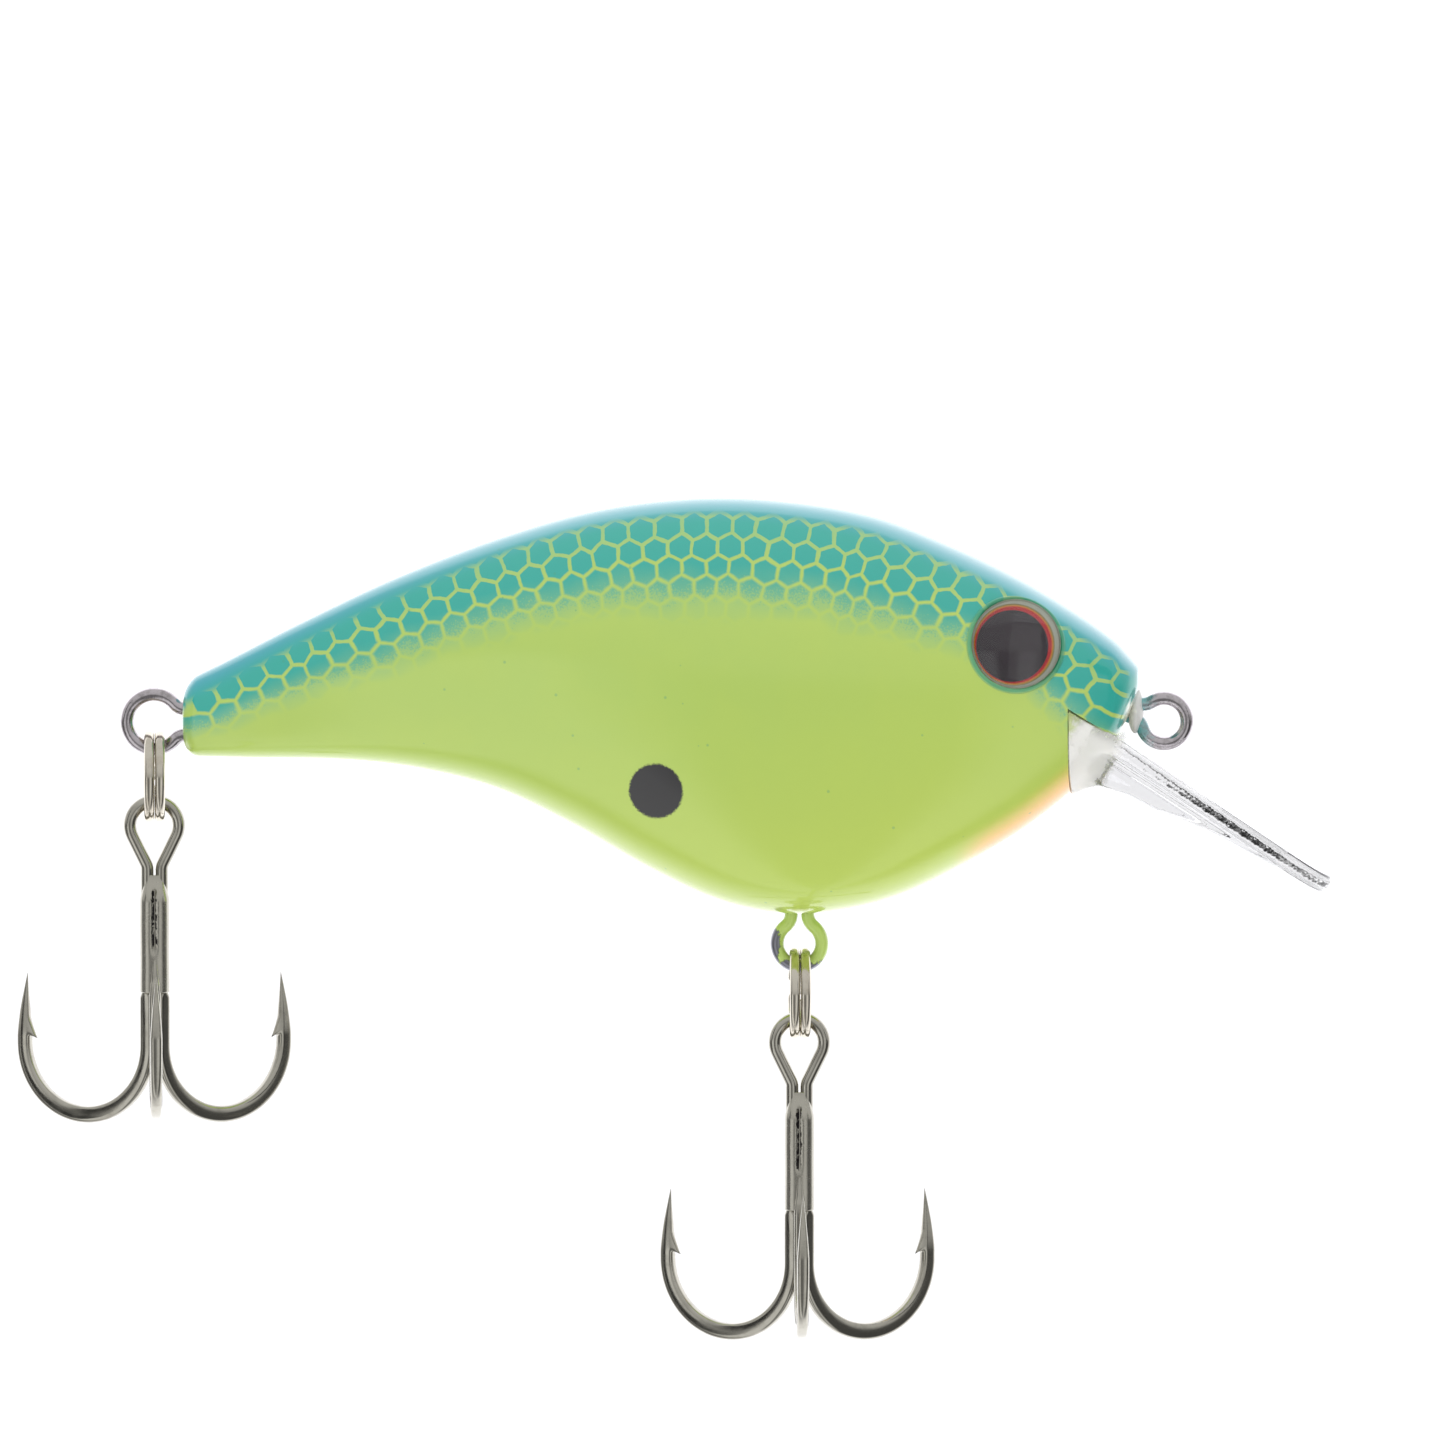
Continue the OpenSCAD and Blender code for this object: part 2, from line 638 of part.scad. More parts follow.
module at_ring(x, z) { translate([x, 0, z - ring_drop]) rotate([0, 0, hang_turn]) children(); }
module at_hook(x, z) {
    translate([x, 0, z - pivot_drop - eyelet_drop]) rotate([0, 0, hang_turn]) children();
}

module belly_split_ring() { color("gainsboro") at_ring(belly_x, belly_wire_z) split_ring(); }
module belly_hook_pair() { color("slategray") at_hook(belly_x, belly_wire_z) hook_pair(); }
module belly_hook_third() { color("slategray") at_hook(belly_x, belly_wire_z) hook_third(); }
module belly_hook_braze() { color("dimgray") at_hook(belly_x, belly_wire_z) hook_braze(); }
module tail_split_ring() { color("gainsboro") at_ring(tail_loop_x, tail_wire_z) split_ring(); }
module tail_hook_pair() { color("slategray") at_hook(tail_loop_x, tail_wire_z) hook_pair(); }
module tail_hook_third() { color("slategray") at_hook(tail_loop_x, tail_wire_z) hook_third(); }
module tail_hook_braze() { color("dimgray") at_hook(tail_loop_x, tail_wire_z) hook_braze(); }

body_left();
body_right();
diving_lip();
line_tie();
belly_hanger();
tail_hanger();
eye_foil_left();
eye_foil_right();
eye_lens_left();
eye_lens_right();
ballast_slug();
rattle_ball_front();
rattle_ball_rear();
belly_split_ring();
belly_hook_pair();
belly_hook_third();
belly_hook_braze();
tail_split_ring();
tail_hook_pair();
tail_hook_third();
tail_hook_braze();
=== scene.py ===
"""Looks of a square-billed crankbait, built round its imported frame.

+X points to the nose, +Z up, and the origin is the middle of the line-tie loop. The classes
work in millimetres, and a mesh is made in metres when its surface is finished.
"""
import json
import logging
import math
from dataclasses import dataclass, field
from enum import Enum

import bpy
import numpy as np
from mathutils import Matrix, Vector


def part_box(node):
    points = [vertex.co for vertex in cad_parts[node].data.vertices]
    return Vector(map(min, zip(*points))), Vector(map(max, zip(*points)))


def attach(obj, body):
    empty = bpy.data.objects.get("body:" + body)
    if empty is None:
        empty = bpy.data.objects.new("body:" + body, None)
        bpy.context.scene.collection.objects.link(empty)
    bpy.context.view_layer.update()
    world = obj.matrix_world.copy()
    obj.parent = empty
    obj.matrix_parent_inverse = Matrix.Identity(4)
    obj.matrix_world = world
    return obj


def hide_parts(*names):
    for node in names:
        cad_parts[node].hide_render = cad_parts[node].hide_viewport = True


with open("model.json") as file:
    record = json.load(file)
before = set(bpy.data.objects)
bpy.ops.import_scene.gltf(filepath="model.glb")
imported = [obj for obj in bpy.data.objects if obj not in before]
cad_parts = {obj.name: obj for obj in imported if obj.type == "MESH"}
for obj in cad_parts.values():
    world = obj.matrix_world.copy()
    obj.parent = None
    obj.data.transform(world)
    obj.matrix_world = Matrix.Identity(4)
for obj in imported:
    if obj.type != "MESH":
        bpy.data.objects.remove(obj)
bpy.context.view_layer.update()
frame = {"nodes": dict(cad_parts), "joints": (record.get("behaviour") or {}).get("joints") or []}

MM = 0.001
TURN = 2 * math.pi
LOG = logging.getLogger("crankbait")
BOX_ENDS = np.array([[3, 2, 1, 0], [4, 5, 6, 7]])

Array = np.ndarray
Socket = bpy.types.NodeSocket
Colour = tuple[float, float, float]


class Side(Enum):
    """Flank of the body that a piece sits on, as the sign of Y."""

    LEFT = 1
    RIGHT = -1


class Place(Enum):
    """Where a hook set hangs."""

    BELLY = "belly"
    TAIL = "tail"


# ---------------------------------------------------------------- numbers and curves


def smooth(x: Array, low: float, high: float) -> Array:
    """Smooth step from 0 at low to 1 at high."""
    t = np.clip((x - low) / (high - low), 0, 1)
    return t * t * (3 - 2 * t)


def unit(v: Array) -> Array:
    """Rows of v, each divided by its length."""
    return v / np.linalg.norm(v, axis=-1, keepdims=True)


def rounded(a: Array, b: Array, r: float) -> Array:
    """Distance outside two half spaces whose common edge is rounded to radius r."""
    outside = np.hypot(np.maximum(a + r, 0), np.maximum(b + r, 0))
    return outside + np.minimum(np.maximum(a, b) + r, 0) - r


def filleted(a: Array, b: Array, r: float) -> Array:
    """Union of two fields, with a fillet of about r where they meet."""
    t = np.clip(0.5 + 0.5 * (b - a) / r, 0, 1)
    return b * (1 - t) + a * t - r * t * (1 - t)


def hermite(knots: Array, u: Array) -> Array:
    """Smooth curve through knots: cubic spans whose slopes come from the two neighbours.

    Args:
        knots: rows of (place, height) in rising order of place.
        u: places to read.

    Returns:
        The heights at u.
    """
    p, q = knots[:, 0], knots[:, 1]
    low = np.maximum(np.arange(len(p)) - 1, 0)
    high = np.minimum(np.arange(len(p)) + 1, len(p) - 1)
    slope = (q[high] - q[low]) / (p[high] - p[low])
    i = np.clip(np.searchsorted(p, u, side="left") - 1, 0, len(p) - 2)
    h = p[i + 1] - p[i]
    t = (u - p[i]) / h
    return (
        (2 * t**3 - 3 * t**2 + 1) * q[i]
        + (t**3 - 2 * t**2 + t) * slope[i] * h
        + (3 * t**2 - 2 * t**3) * q[i + 1]
        + (t**3 - t**2) * slope[i + 1] * h
    )


def corner_of(node: str, which: int) -> Array:
    """Lowest (0) or highest (1) corner of a frame node, in millimetres."""
    return np.array(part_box(node)[which]) / MM


def pivot(name: str) -> Array:
    """Place of a frame joint, in millimetres."""
    return next(np.array(j["pos_m"]) / MM for j in frame["joints"] if j["name"] == name)


# ---------------------------------------------------------------- meshes


def make_mesh(name: str, points: Array, faces: list[Array], maps: dict[str, Array]) -> bpy.types.Object:
    """Makes an object from points in millimetres, with its faces turned outwards.

    Args:
        name: piece name.
        points: one row per point.
        faces: arrays of triangles or quads, as point numbers.
        maps: name of each surface map and its two numbers at each point.

    Returns:
        The object, linked into the scene.
    """
    tris = [f[:, [0, 1, 2]] for f in faces] + [f[:, [0, 2, 3]] for f in faces if f.shape[1] == 4]
    a, b, c = (points[np.concatenate(tris)[:, k]] for k in range(3))
    if np.einsum("ij,ij->i", a, np.cross(b, c)).sum() < 0:
        faces = [f[:, ::-1] for f in faces]
    mesh = bpy.data.meshes.new(name)
    mesh.from_pydata((points * MM).tolist(), [], [row for f in faces for row in f.tolist()])
    mesh.polygons.foreach_set("use_smooth", np.ones(len(mesh.polygons), bool))
    obj = bpy.data.objects.new(name, mesh)
    bpy.context.scene.collection.objects.link(obj)
    lay_maps(obj, maps)
    return obj


def lay_maps(obj: bpy.types.Object, maps: dict[str, Array]) -> None:
    """Writes surface maps, given at the points, onto the corners of an object's faces."""
    mesh = obj.data
    corner = np.zeros(len(mesh.loops), np.int32)
    mesh.loops.foreach_get("vertex_index", corner)
    for key, values in maps.items():
        layer = mesh.uv_layers.get(key) or mesh.uv_layers.new(name=key)
        layer.data.foreach_set("uv", values[corner].astype(np.float32).ravel())
    mesh.update()


def points_of(obj: bpy.types.Object) -> Array:
    """Points of an object's mesh, in millimetres."""
    flat = np.zeros(len(obj.data.vertices) * 3, np.float32)
    obj.data.vertices.foreach_get("co", flat)
    return flat.reshape(-1, 3).astype(float) / MM


def grid_faces(rows: int, around: int) -> Array:
    """Quads between neighbouring rows of a grid that closes on itself sideways."""
    i, j = np.meshgrid(np.arange(rows - 1), np.arange(around), indexing="ij")
    k = (j + 1) % around
    low, high = i * around, (i + 1) * around
    return np.stack([low + j, low + k, high + k, high + j], -1).reshape(-1, 4)


def skin(name: str, grid: Array, maps: dict[str, Array] | None = None) -> bpy.types.Object:
    """Closed skin over rings of points, with a pole at the middle of the first and last ring.

    Args:
        name: piece name.
        grid: rings by points by three, each ring closed on itself.
        maps: surface maps with the same rings and points, two numbers each.

    Returns:
        The object.
    """
    rows, around = grid.shape[:2]
    points = np.concatenate([grid.reshape(-1, 3), grid[:1].mean(1), grid[-1:].mean(1)])
    first, last, j = rows * around, rows * around + 1, np.arange(around)
    k = (j + 1) % around
    base = (rows - 1) * around
    poles = np.concatenate(
        [np.stack([j * 0 + first, k, j], -1), np.stack([j * 0 + last, base + j, base + k], -1)]
    )
    full = {
        key: np.concatenate([m.reshape(-1, 2), m[:1].mean(1), m[-1:].mean(1)])
        for key, m in (maps or {}).items()
    }
    return make_mesh(name, points, [grid_faces(rows, around), poles], full)


def hoop(name: str, grid: Array, maps: dict[str, Array] | None = None) -> bpy.types.Object:
    """Closed hoop: a grid that closes on itself both ways. Args and result are as for skin."""
    rows, around = grid.shape[:2]
    faces = grid_faces(rows + 1, around) % (rows * around)
    flat = {key: m.reshape(-1, 2) for key, m in (maps or {}).items()}
    return make_mesh(name, grid.reshape(-1, 3), [faces], flat)


def turned(profile: Array, around: int) -> Array:
    """Rings of a turned form: (radius, height) rows spun round the Z axis.

    Args:
        profile: rows of (radius, height).
        around: points in a ring.

    Returns:
        Grid of rings by points by three.
    """
    a = np.linspace(0, TURN, around, endpoint=False)
    r, h = profile[:, :1], profile[:, 1:]
    return np.stack([r * np.cos(a), r * np.sin(a), h + 0 * a], -1)


def cut(obj: bpy.types.Object, tools: list[bpy.types.Object]) -> None:
    """Takes tools away from an object, then deletes the tools."""
    for tool in tools:
        step = obj.modifiers.new("cut", "BOOLEAN")
        step.operation = "DIFFERENCE"
        step.solver = "EXACT"
        step.object = tool
    bpy.context.view_layer.update()
    made = bpy.data.meshes.new_from_object(obj.evaluated_get(bpy.context.evaluated_depsgraph_get()))
    obj.modifiers.clear()
    old = obj.data
    obj.data = made
    made.name = old.name
    bpy.data.meshes.remove(old)
    for tool in tools:
        bpy.data.meshes.remove(tool.data)


def finish_piece(
    obj: bpy.types.Object,
    body: str,
    material: bpy.types.Material,
    stands_for: tuple[str, ...] = (),
) -> bpy.types.Object:
    """Dresses a piece, hangs it on its body and reports it.

    Args:
        obj: the piece.
        body: frame body that carries it.
        material: its finish.
        stands_for: frame nodes that it replaces.

    Returns:
        The piece.
    """
    obj.data.materials.clear()
    obj.data.materials.append(material)
    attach(obj, body)
    if stands_for:
        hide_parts(*stands_for)
    LOG.info("%s: %d points, on %s", obj.name, len(obj.data.vertices), body)
    return obj


# ---------------------------------------------------------------- wires


@dataclass
class Trace:
    """Middle line of a wire: places, headings and side directions, one row per station."""

    places: Array
    headings: Array
    sides: Array

    def then(self, other: "Trace") -> "Trace":
        """This trace followed by another that starts where it ends."""
        return Trace(
            np.concatenate([self.places, other.places[1:]]),
            np.concatenate([self.headings, other.headings[1:]]),
            np.concatenate([self.sides, other.sides[1:]]),
        )

    def backwards(self) -> "Trace":
        """The same line, run from its far end."""
        return Trace(self.places[::-1], -self.headings[::-1], self.sides[::-1])

    def run(self) -> Array:
        """Length along the line at each station."""
        return np.concatenate([[0], np.cumsum(np.linalg.norm(np.diff(self.places, axis=0), axis=1))])


def plane_trace(
    steps: list[tuple[float, float]], start: Array, ahead: Array, side: Array, pitch: float
) -> Trace:
    """Line in one plane, made of straights and arcs.

    Along a step of curvature k the heading angle is k times the length run, and the place is
    the integral of the heading.

    Args:
        steps: (length, 0) for a straight, or (radius, turn in degrees), left turns positive.
        start: first place.
        ahead: first heading.
        side: normal of the plane, about which a left turn turns.
        pitch: distance between stations.

    Returns:
        The line.
    """
    left = np.cross(side, ahead)
    places, angles, at, angle = [np.zeros((1, 2))], [np.zeros(1)], np.zeros(2), 0.0
    for size, turn in steps:
        length = abs(math.radians(turn)) * size if turn else size
        s = np.linspace(0, length, max(2, math.ceil(length / pitch) + 1))[1:]
        if turn:
            k = math.copysign(1 / size, turn)
            a = angle + k * s
            moved = np.stack([np.sin(a) - math.sin(angle), math.cos(angle) - np.cos(a)], -1) / k
        else:
            a = angle + 0 * s
            moved = s[:, None] * np.array([math.cos(angle), math.sin(angle)])
        places.append(at + moved)
        angles.append(a)
        at, angle = at + moved[-1], a[-1]
    flat, turns = np.concatenate(places), np.concatenate(angles)[:, None]
    return Trace(
        start + flat[:, :1] * ahead + flat[:, 1:] * left,
        np.cos(turns) * ahead + np.sin(turns) * left,
        np.repeat(side[None], len(flat), 0),
    )


def wire_grid(
    trace: Trace, deep: Array | float, wide: Array | float, square: Array | float, around: int
) -> tuple[Array, Array]:
    """Wire along a line: a rounded section at each station, with domed ends.

    The section is a super-ellipse: cos and sin of the angle, each raised to 2 over square.

    Args:
        trace: the middle line.
        deep: half size of the section in the plane of the bend, at each station.
        wide: half size across that plane, at each station.
        square: power of the section at each station, 2 for a round wire.
        around: points in a ring.

    Returns:
        Grid of rings, and a map of (length along, share round) for each point.
    """
    n, dome = len(trace.places), 5
    deep, wide, square = (np.broadcast_to(np.asarray(x, float), (n,)) for x in (deep, wide, square))
    lean = np.linspace(0, math.pi / 2, dome + 1)[1:] - 0.03
    rows = np.concatenate([np.zeros(dome, int), np.arange(n), np.full(dome, n - 1)])
    bulge = np.concatenate([-np.sin(lean[::-1]) * deep[0], np.zeros(n), np.sin(lean) * deep[-1]])
    thin = np.concatenate([np.cos(lean[::-1]), np.ones(n), np.cos(lean)])
    heading, side = unit(trace.headings[rows]), trace.sides[rows]
    side = unit(side - np.einsum("ij,ij->i", side, heading)[:, None] * heading)
    normal = np.cross(side, heading)
    middle = trace.places[rows] + bulge[:, None] * heading
    a = np.linspace(0, TURN, around, endpoint=False)
    power = 2 / square[rows, None]
    c = np.sign(np.cos(a)) * np.abs(np.cos(a)) ** power * (deep[rows] * thin)[:, None]
    s = np.sign(np.sin(a)) * np.abs(np.sin(a)) ** power * (wide[rows] * thin)[:, None]
    grid = middle[:, None] + c[..., None] * normal[:, None] + s[..., None] * side[:, None]
    share = np.broadcast_to(a / TURN, grid.shape[:2])
    along = np.broadcast_to((trace.run()[rows] + bulge)[:, None], grid.shape[:2])
    return grid, np.stack([along, share], -1)


# ---------------------------------------------------------------- material nodes


class Tree:
    """Short way of writing a node tree."""

    def __init__(self, owner: bpy.types.Material | bpy.types.World) -> None:
        """Starts an empty tree in a material or a world."""
        owner.use_nodes = True
        self.tree = owner.node_tree
        self.tree.nodes.clear()

    def feed(self, socket: Socket, value: object) -> None:
        """Links a socket, or sets a plain value."""
        if isinstance(value, bpy.types.NodeSocket):
            self.tree.links.new(value, socket)
        elif isinstance(value, tuple) and len(value) == 3 and socket.type == "RGBA":
            socket.default_value = (*value, 1.0)
        else:
            socket.default_value = value

    def node(self, kind: str, inputs: dict[int | str, object], **settings: object) -> bpy.types.Node:
        """Adds a node with its settings and inputs."""
        made = self.tree.nodes.new("ShaderNode" + kind)
        for key, value in settings.items():
            setattr(made, key, value)
        for key, value in inputs.items():
            self.feed(made.inputs[key], value)
        return made

    def math(self, operation: str, a: object, b: object = 0.0, c: object = 0.0) -> Socket:
        """One sum."""
        return self.node("Math", {0: a, 1: b, 2: c}, operation=operation).outputs[0]

    def step(
        self, x: object, low: object, high: object, start: object = 0.0, end: object = 1.0
    ) -> Socket:
        """Smooth step of x from start at low to end at high."""
        sockets = {0: x, 1: low, 2: high, 3: start, 4: end}
        return self.node("MapRange", sockets, interpolation_type="SMOOTHSTEP", clamp=True).outputs[0]

    def mix(self, share: object, a: object, b: object) -> Socket:
        """Blend of two colours."""
        return self.node("Mix", {0: share, 6: a, 7: b}, data_type="RGBA", clamp_factor=True).outputs[2]

    def split(self, vector: Socket) -> tuple[Socket, Socket, Socket]:
        """The three parts of a vector."""
        made = self.node("SeparateXYZ", {0: vector})
        return made.outputs[0], made.outputs[1], made.outputs[2]

    def join(self, x: object, y: object, z: object = 0.0) -> Socket:
        """A vector from its parts."""
        return self.node("CombineXYZ", {0: x, 1: y, 2: z}).outputs[0]

    def ramp(self, x: object, stops: tuple[tuple[float, float], ...]) -> Socket:
        """Grey level at x, straight between the stops of (place, level)."""
        made = self.node("ValToRGB", {0: x})
        while len(made.color_ramp.elements) < len(stops):
            made.color_ramp.elements.new(0.5)
        for element, (at, level) in zip(made.color_ramp.elements, stops):
            element.position, element.color = at, (level, level, level, 1)
        return made.outputs[0]


class Graph(Tree):
    """Node tree of one material, round a Principled shader."""

    def __init__(self, name: str) -> None:
        """Starts the material."""
        self.material = bpy.data.materials.new(name)
        super().__init__(self.material)
        self.shader = self.tree.nodes.new("ShaderNodeBsdfPrincipled")
        out = self.tree.nodes.new("ShaderNodeOutputMaterial")
        self.tree.links.new(self.shader.outputs[0], out.inputs["Surface"])

    def set(self, **sockets: object) -> None:
        """Sets shader sockets, underscores standing for spaces."""
        for key, value in sockets.items():
            self.feed(self.shader.inputs[key.replace("_", " ")], value)

    def place(self) -> Socket:
        """Place on the object, in millimetres."""
        here = self.node("TexCoord", {}).outputs["Object"]
        return self.node("VectorMath", {0: here, "Scale": 1 / MM}, operation="SCALE").outputs[0]

    def sheet(self, name: str) -> tuple[Socket, Socket]:
        """The two numbers of a surface map."""
        u, v, _ = self.split(self.node("UVMap", {}, uv_map=name).outputs[0])
        return u, v

    def stretch(self, vector: Socket, by: Colour) -> Socket:
        """A vector times three factors."""
        return self.node("VectorMath", {0: vector, 1: by}, operation="MULTIPLY").outputs[0]

    def noise(self, vector: Socket, scale: float, detail: float = 2.0, rough: float = 0.5) -> Socket:
        """Noise from 0 to 1 with features of about one over scale."""
        sockets = {"Vector": vector, "Scale": scale, "Detail": detail, "Roughness": rough}
        return self.node("TexNoise", sockets).outputs[0]

    def grains(self, vector: Socket, scale: float) -> Socket:
        """Distance to the nearest of many scattered grains, in grain spacings."""
        return self.node("TexVoronoi", {"Vector": vector, "Scale": scale}).outputs[0]

    def relief(self, height: Socket, depth: float, strength: float = 1.0) -> Socket:
        """Bumped normal from a height, with its depth in millimetres."""
        made = self.node("Bump", {"Height": height, "Distance": depth * MM, "Strength": strength})
        return made.outputs["Normal"]


def from_screen(r: int, g: int, b: int) -> Colour:
    """Linear colour from screen values of 0 to 255."""
    c = np.array([r, g, b]) / 255
    return tuple(float(x) for x in np.where(c < 0.04045, c / 12.92, ((c + 0.055) / 1.055) ** 2.4))


# ---------------------------------------------------------------- finishes


@dataclass(frozen=True)
class BodyPaint:
    """Chartreuse ground, netted scale fade, orange throat and round spot, under clear coat."""

    ground: Colour = from_screen(172, 200, 92)
    ground_low: Colour = from_screen(186, 207, 86)
    back: Colour = from_screen(34, 164, 150)
    crest: Colour = from_screen(50, 158, 172)
    net: Colour = from_screen(178, 205, 98)
    throat: Colour = from_screen(250, 176, 84)
    spot: Colour = from_screen(20, 18, 22)
    rim: Colour = from_screen(52, 150, 112)
    bare: Colour = from_screen(236, 240, 214)
    cell: float = 1.76
    row: float = 1.34
    row_start: float = 0.36
    line: float = 0.25
    net_start: float = 0.95
    tail_extra: float = 0.35
    tail_from: tuple[float, float] = (-38.0, -50.0)
    net_end: tuple[float, float] = (-2.5, -1.95)
    eye_rim: tuple[float, float] = (3.30, 3.08)
    spot_edge: tuple[float, float] = (1.86, 1.70)

    def hexagons(self, g: Graph, u: Socket, v: Socket) -> Socket:
        """Distance from the middle of a six-sided cell, 0.5 at its edge.

        The cells stand in offset rows: for each of the two half lattices the offset to the
        nearest middle is folded to one quarter, and the distance is the larger of the offset
        along and half the offset along plus the root of three quarters of the offset across.

        Args:
            g: material being written.
            u: length along the rows.
            v: distance across the rows.

        Returns:
            The distance, in cell widths.
        """
        high = math.sqrt(3)
        x = g.math("DIVIDE", u, self.cell)
        y = g.math("MULTIPLY", g.math("SUBTRACT", v, self.row_start), high / 2 / self.row)
        found = []
        for shift in (0.0, 0.5):
            dx = g.math("ABSOLUTE", g.math("SUBTRACT", g.math("FRACT", g.math("ADD", x, shift)), 0.5))
            across = g.math("FRACT", g.math("ADD", g.math("DIVIDE", y, high), shift))
            dy = g.math("ABSOLUTE", g.math("MULTIPLY", g.math("SUBTRACT", across, 0.5), high))
            lean = g.math("MULTIPLY_ADD", dy, high / 2, g.math("MULTIPLY", dx, 0.5))
            found.append(g.math("MAXIMUM", dx, lean))
        return g.math("MINIMUM", found[0], found[1])

    def build(self) -> bpy.types.Material:
        """Writes the paint.

        Returns:
            The material.
        """
        g = Graph("body_paint")
        here = g.place()
        u, v = g.sheet("rows")
        fade, throat = g.sheet("spray")
        spot, eye = g.sheet("marks")
        depth, bare = g.sheet("shade")
        mist = g.noise(here, 8.5, 2.0, 0.6)
        cloud = g.noise(here, 0.35, 2.0)
        fine = g.noise(here, 2.6, 1.0)
        wander = g.noise(here, 0.55, 0.0)
        # the net never lies quite straight on the flank
        wobble_u = g.math("MULTIPLY", g.math("SUBTRACT", wander, 0.5), 0.55)
        wobble_v = g.math("MULTIPLY", g.math("SUBTRACT", g.noise(here, 0.4, 0.0), 0.5), 0.4)
        ragged = g.math("MULTIPLY", g.math("SUBTRACT", fine, 0.5), 0.05)
        cells = self.hexagons(g, g.math("ADD", u, wobble_u), g.math("ADD", v, wobble_v))
        cells = g.math("ADD", cells, ragged)
        edge = 0.5 - self.line / self.cell / 2
        loose = g.step(fade, 0.35, 0.85, 0.02, 0.10)
        inside = g.step(cells, g.math("ADD", edge, loose), g.math("SUBTRACT", edge, loose))
        # the teal thins out down the flank into single droplets
        spread = g.math("MULTIPLY_ADD", g.math("SUBTRACT", cloud, 0.5), 0.25, fade)
        load = g.step(spread, 1.08, 0.46)
        droplets = g.step(mist, g.math("SUBTRACT", 0.78, g.math("MULTIPLY", load, 0.75)),
                          g.math("SUBTRACT", 0.98, g.math("MULTIPLY", load, 0.75)))
        sprayed = g.math("MULTIPLY_ADD", droplets, 0.28, g.math("MULTIPLY", load, 0.74))
        sprayed = g.math("MULTIPLY", sprayed, g.step(load, 0.0, 0.12))
        x, _, _ = g.split(here)
        shifted = g.math("SUBTRACT", v, g.step(x, *self.tail_from, 0.0, self.tail_extra))
        open_band = g.step(shifted, self.net_start + 0.55, self.net_start - 0.35)
        masked = g.math("MAXIMUM", inside, open_band)
        stain = g.math("MULTIPLY", g.step(fade, 0.62, 0.1), 0.38)
        cover = g.math("MAXIMUM", g.math("MAXIMUM", masked, stain), g.step(x, *self.net_end))
        teal_share = g.math("MULTIPLY", sprayed, cover)
        rim_ring = g.math("MULTIPLY", g.step(eye, *self.eye_rim), 0.85)
        teal_share = g.math("MAXIMUM", teal_share, rim_ring)
        ground = g.mix(depth, self.ground_low, self.ground)
        ground = g.mix(g.math("MULTIPLY", g.step(cloud, 0.35, 0.75), 0.12), ground, self.ground_low)
        teal = g.mix(g.step(v, 1.6, 0.2), self.back, self.crest)
        teal = g.mix(g.step(eye, 3.3, 3.1), teal, self.rim)
        colour = g.mix(teal_share, ground, teal)
        warm = g.math("MULTIPLY", throat, g.math("MULTIPLY_ADD", mist, 0.5, 0.65))
        colour = g.mix(warm, colour, self.throat)
        frayed = g.math("MULTIPLY_ADD", g.math("SUBTRACT", mist, 0.5), 0.30, spot)
        colour = g.mix(g.step(frayed, *self.spot_edge), colour, self.spot)
        colour = g.mix(bare, colour, self.bare)
        flecks = g.math("LESS_THAN", g.grains(here, 0.55), 0.055)
        colour = g.mix(g.math("MULTIPLY", flecks, 0.35), colour, self.rim)
        g.set(Base_Color=colour, Roughness=0.34, IOR=1.5)
        g.set(Coat_Weight=1.0, Coat_Roughness=0.025, Coat_IOR=1.52)
        waves = g.math("MULTIPLY", g.noise(here, 0.9, 2.0), 0.6)
        height = g.math("MULTIPLY_ADD", teal_share, 0.5, waves)
        g.set(Normal=g.relief(height, 0.02, 0.6))
        g.set(Coat_Normal=g.relief(g.noise(here, 0.22, 1.0), 0.05, 0.35))
        return g.material


@dataclass(frozen=True)
class BareWire:
    """Stainless wire, dull from handling, with paint overspray near the body if wanted."""

    name: str
    sprayed_from: float = -1e3
    sprayed_to: float = -1e3 + 1
    metal: Colour = from_screen(198, 192, 196)
    spray: Colour = from_screen(96, 176, 176)

    def build(self) -> bpy.types.Material:
        """Writes the wire finish.

        Returns:
            The material.
        """
        g = Graph(self.name)
        here = g.place()
        x, _, _ = g.split(here)
        along, _ = g.sheet("wire")
        drawn = g.noise(g.stretch(g.join(along, x, 0.0), (0.6, 6.0, 1.0)), 1.6, 3.0)
        grime = g.noise(here, 1.7, 4.0, 0.65)
        dull = g.step(grime, 0.42, 0.72)
        colour = g.mix(g.math("MULTIPLY", dull, 0.5), self.metal, from_screen(128, 124, 122))
        speckle = g.math("MULTIPLY_ADD", g.math("SUBTRACT", g.noise(here, 4.0, 2.0), 0.5), 1.6, x)
        painted = g.step(speckle, self.sprayed_to, self.sprayed_from)
        colour = g.mix(painted, colour, self.spray)
        g.set(Base_Color=colour, Metallic=g.math("SUBTRACT", 1.0, painted))
        worn = g.math("MULTIPLY_ADD", dull, 0.4, drawn)
        g.set(Roughness=g.step(worn, 0.3, 1.0, 0.10, 0.27))
        g.set(Normal=g.relief(g.math("ADD", drawn, grime), 0.015, 0.25))
        return g.material


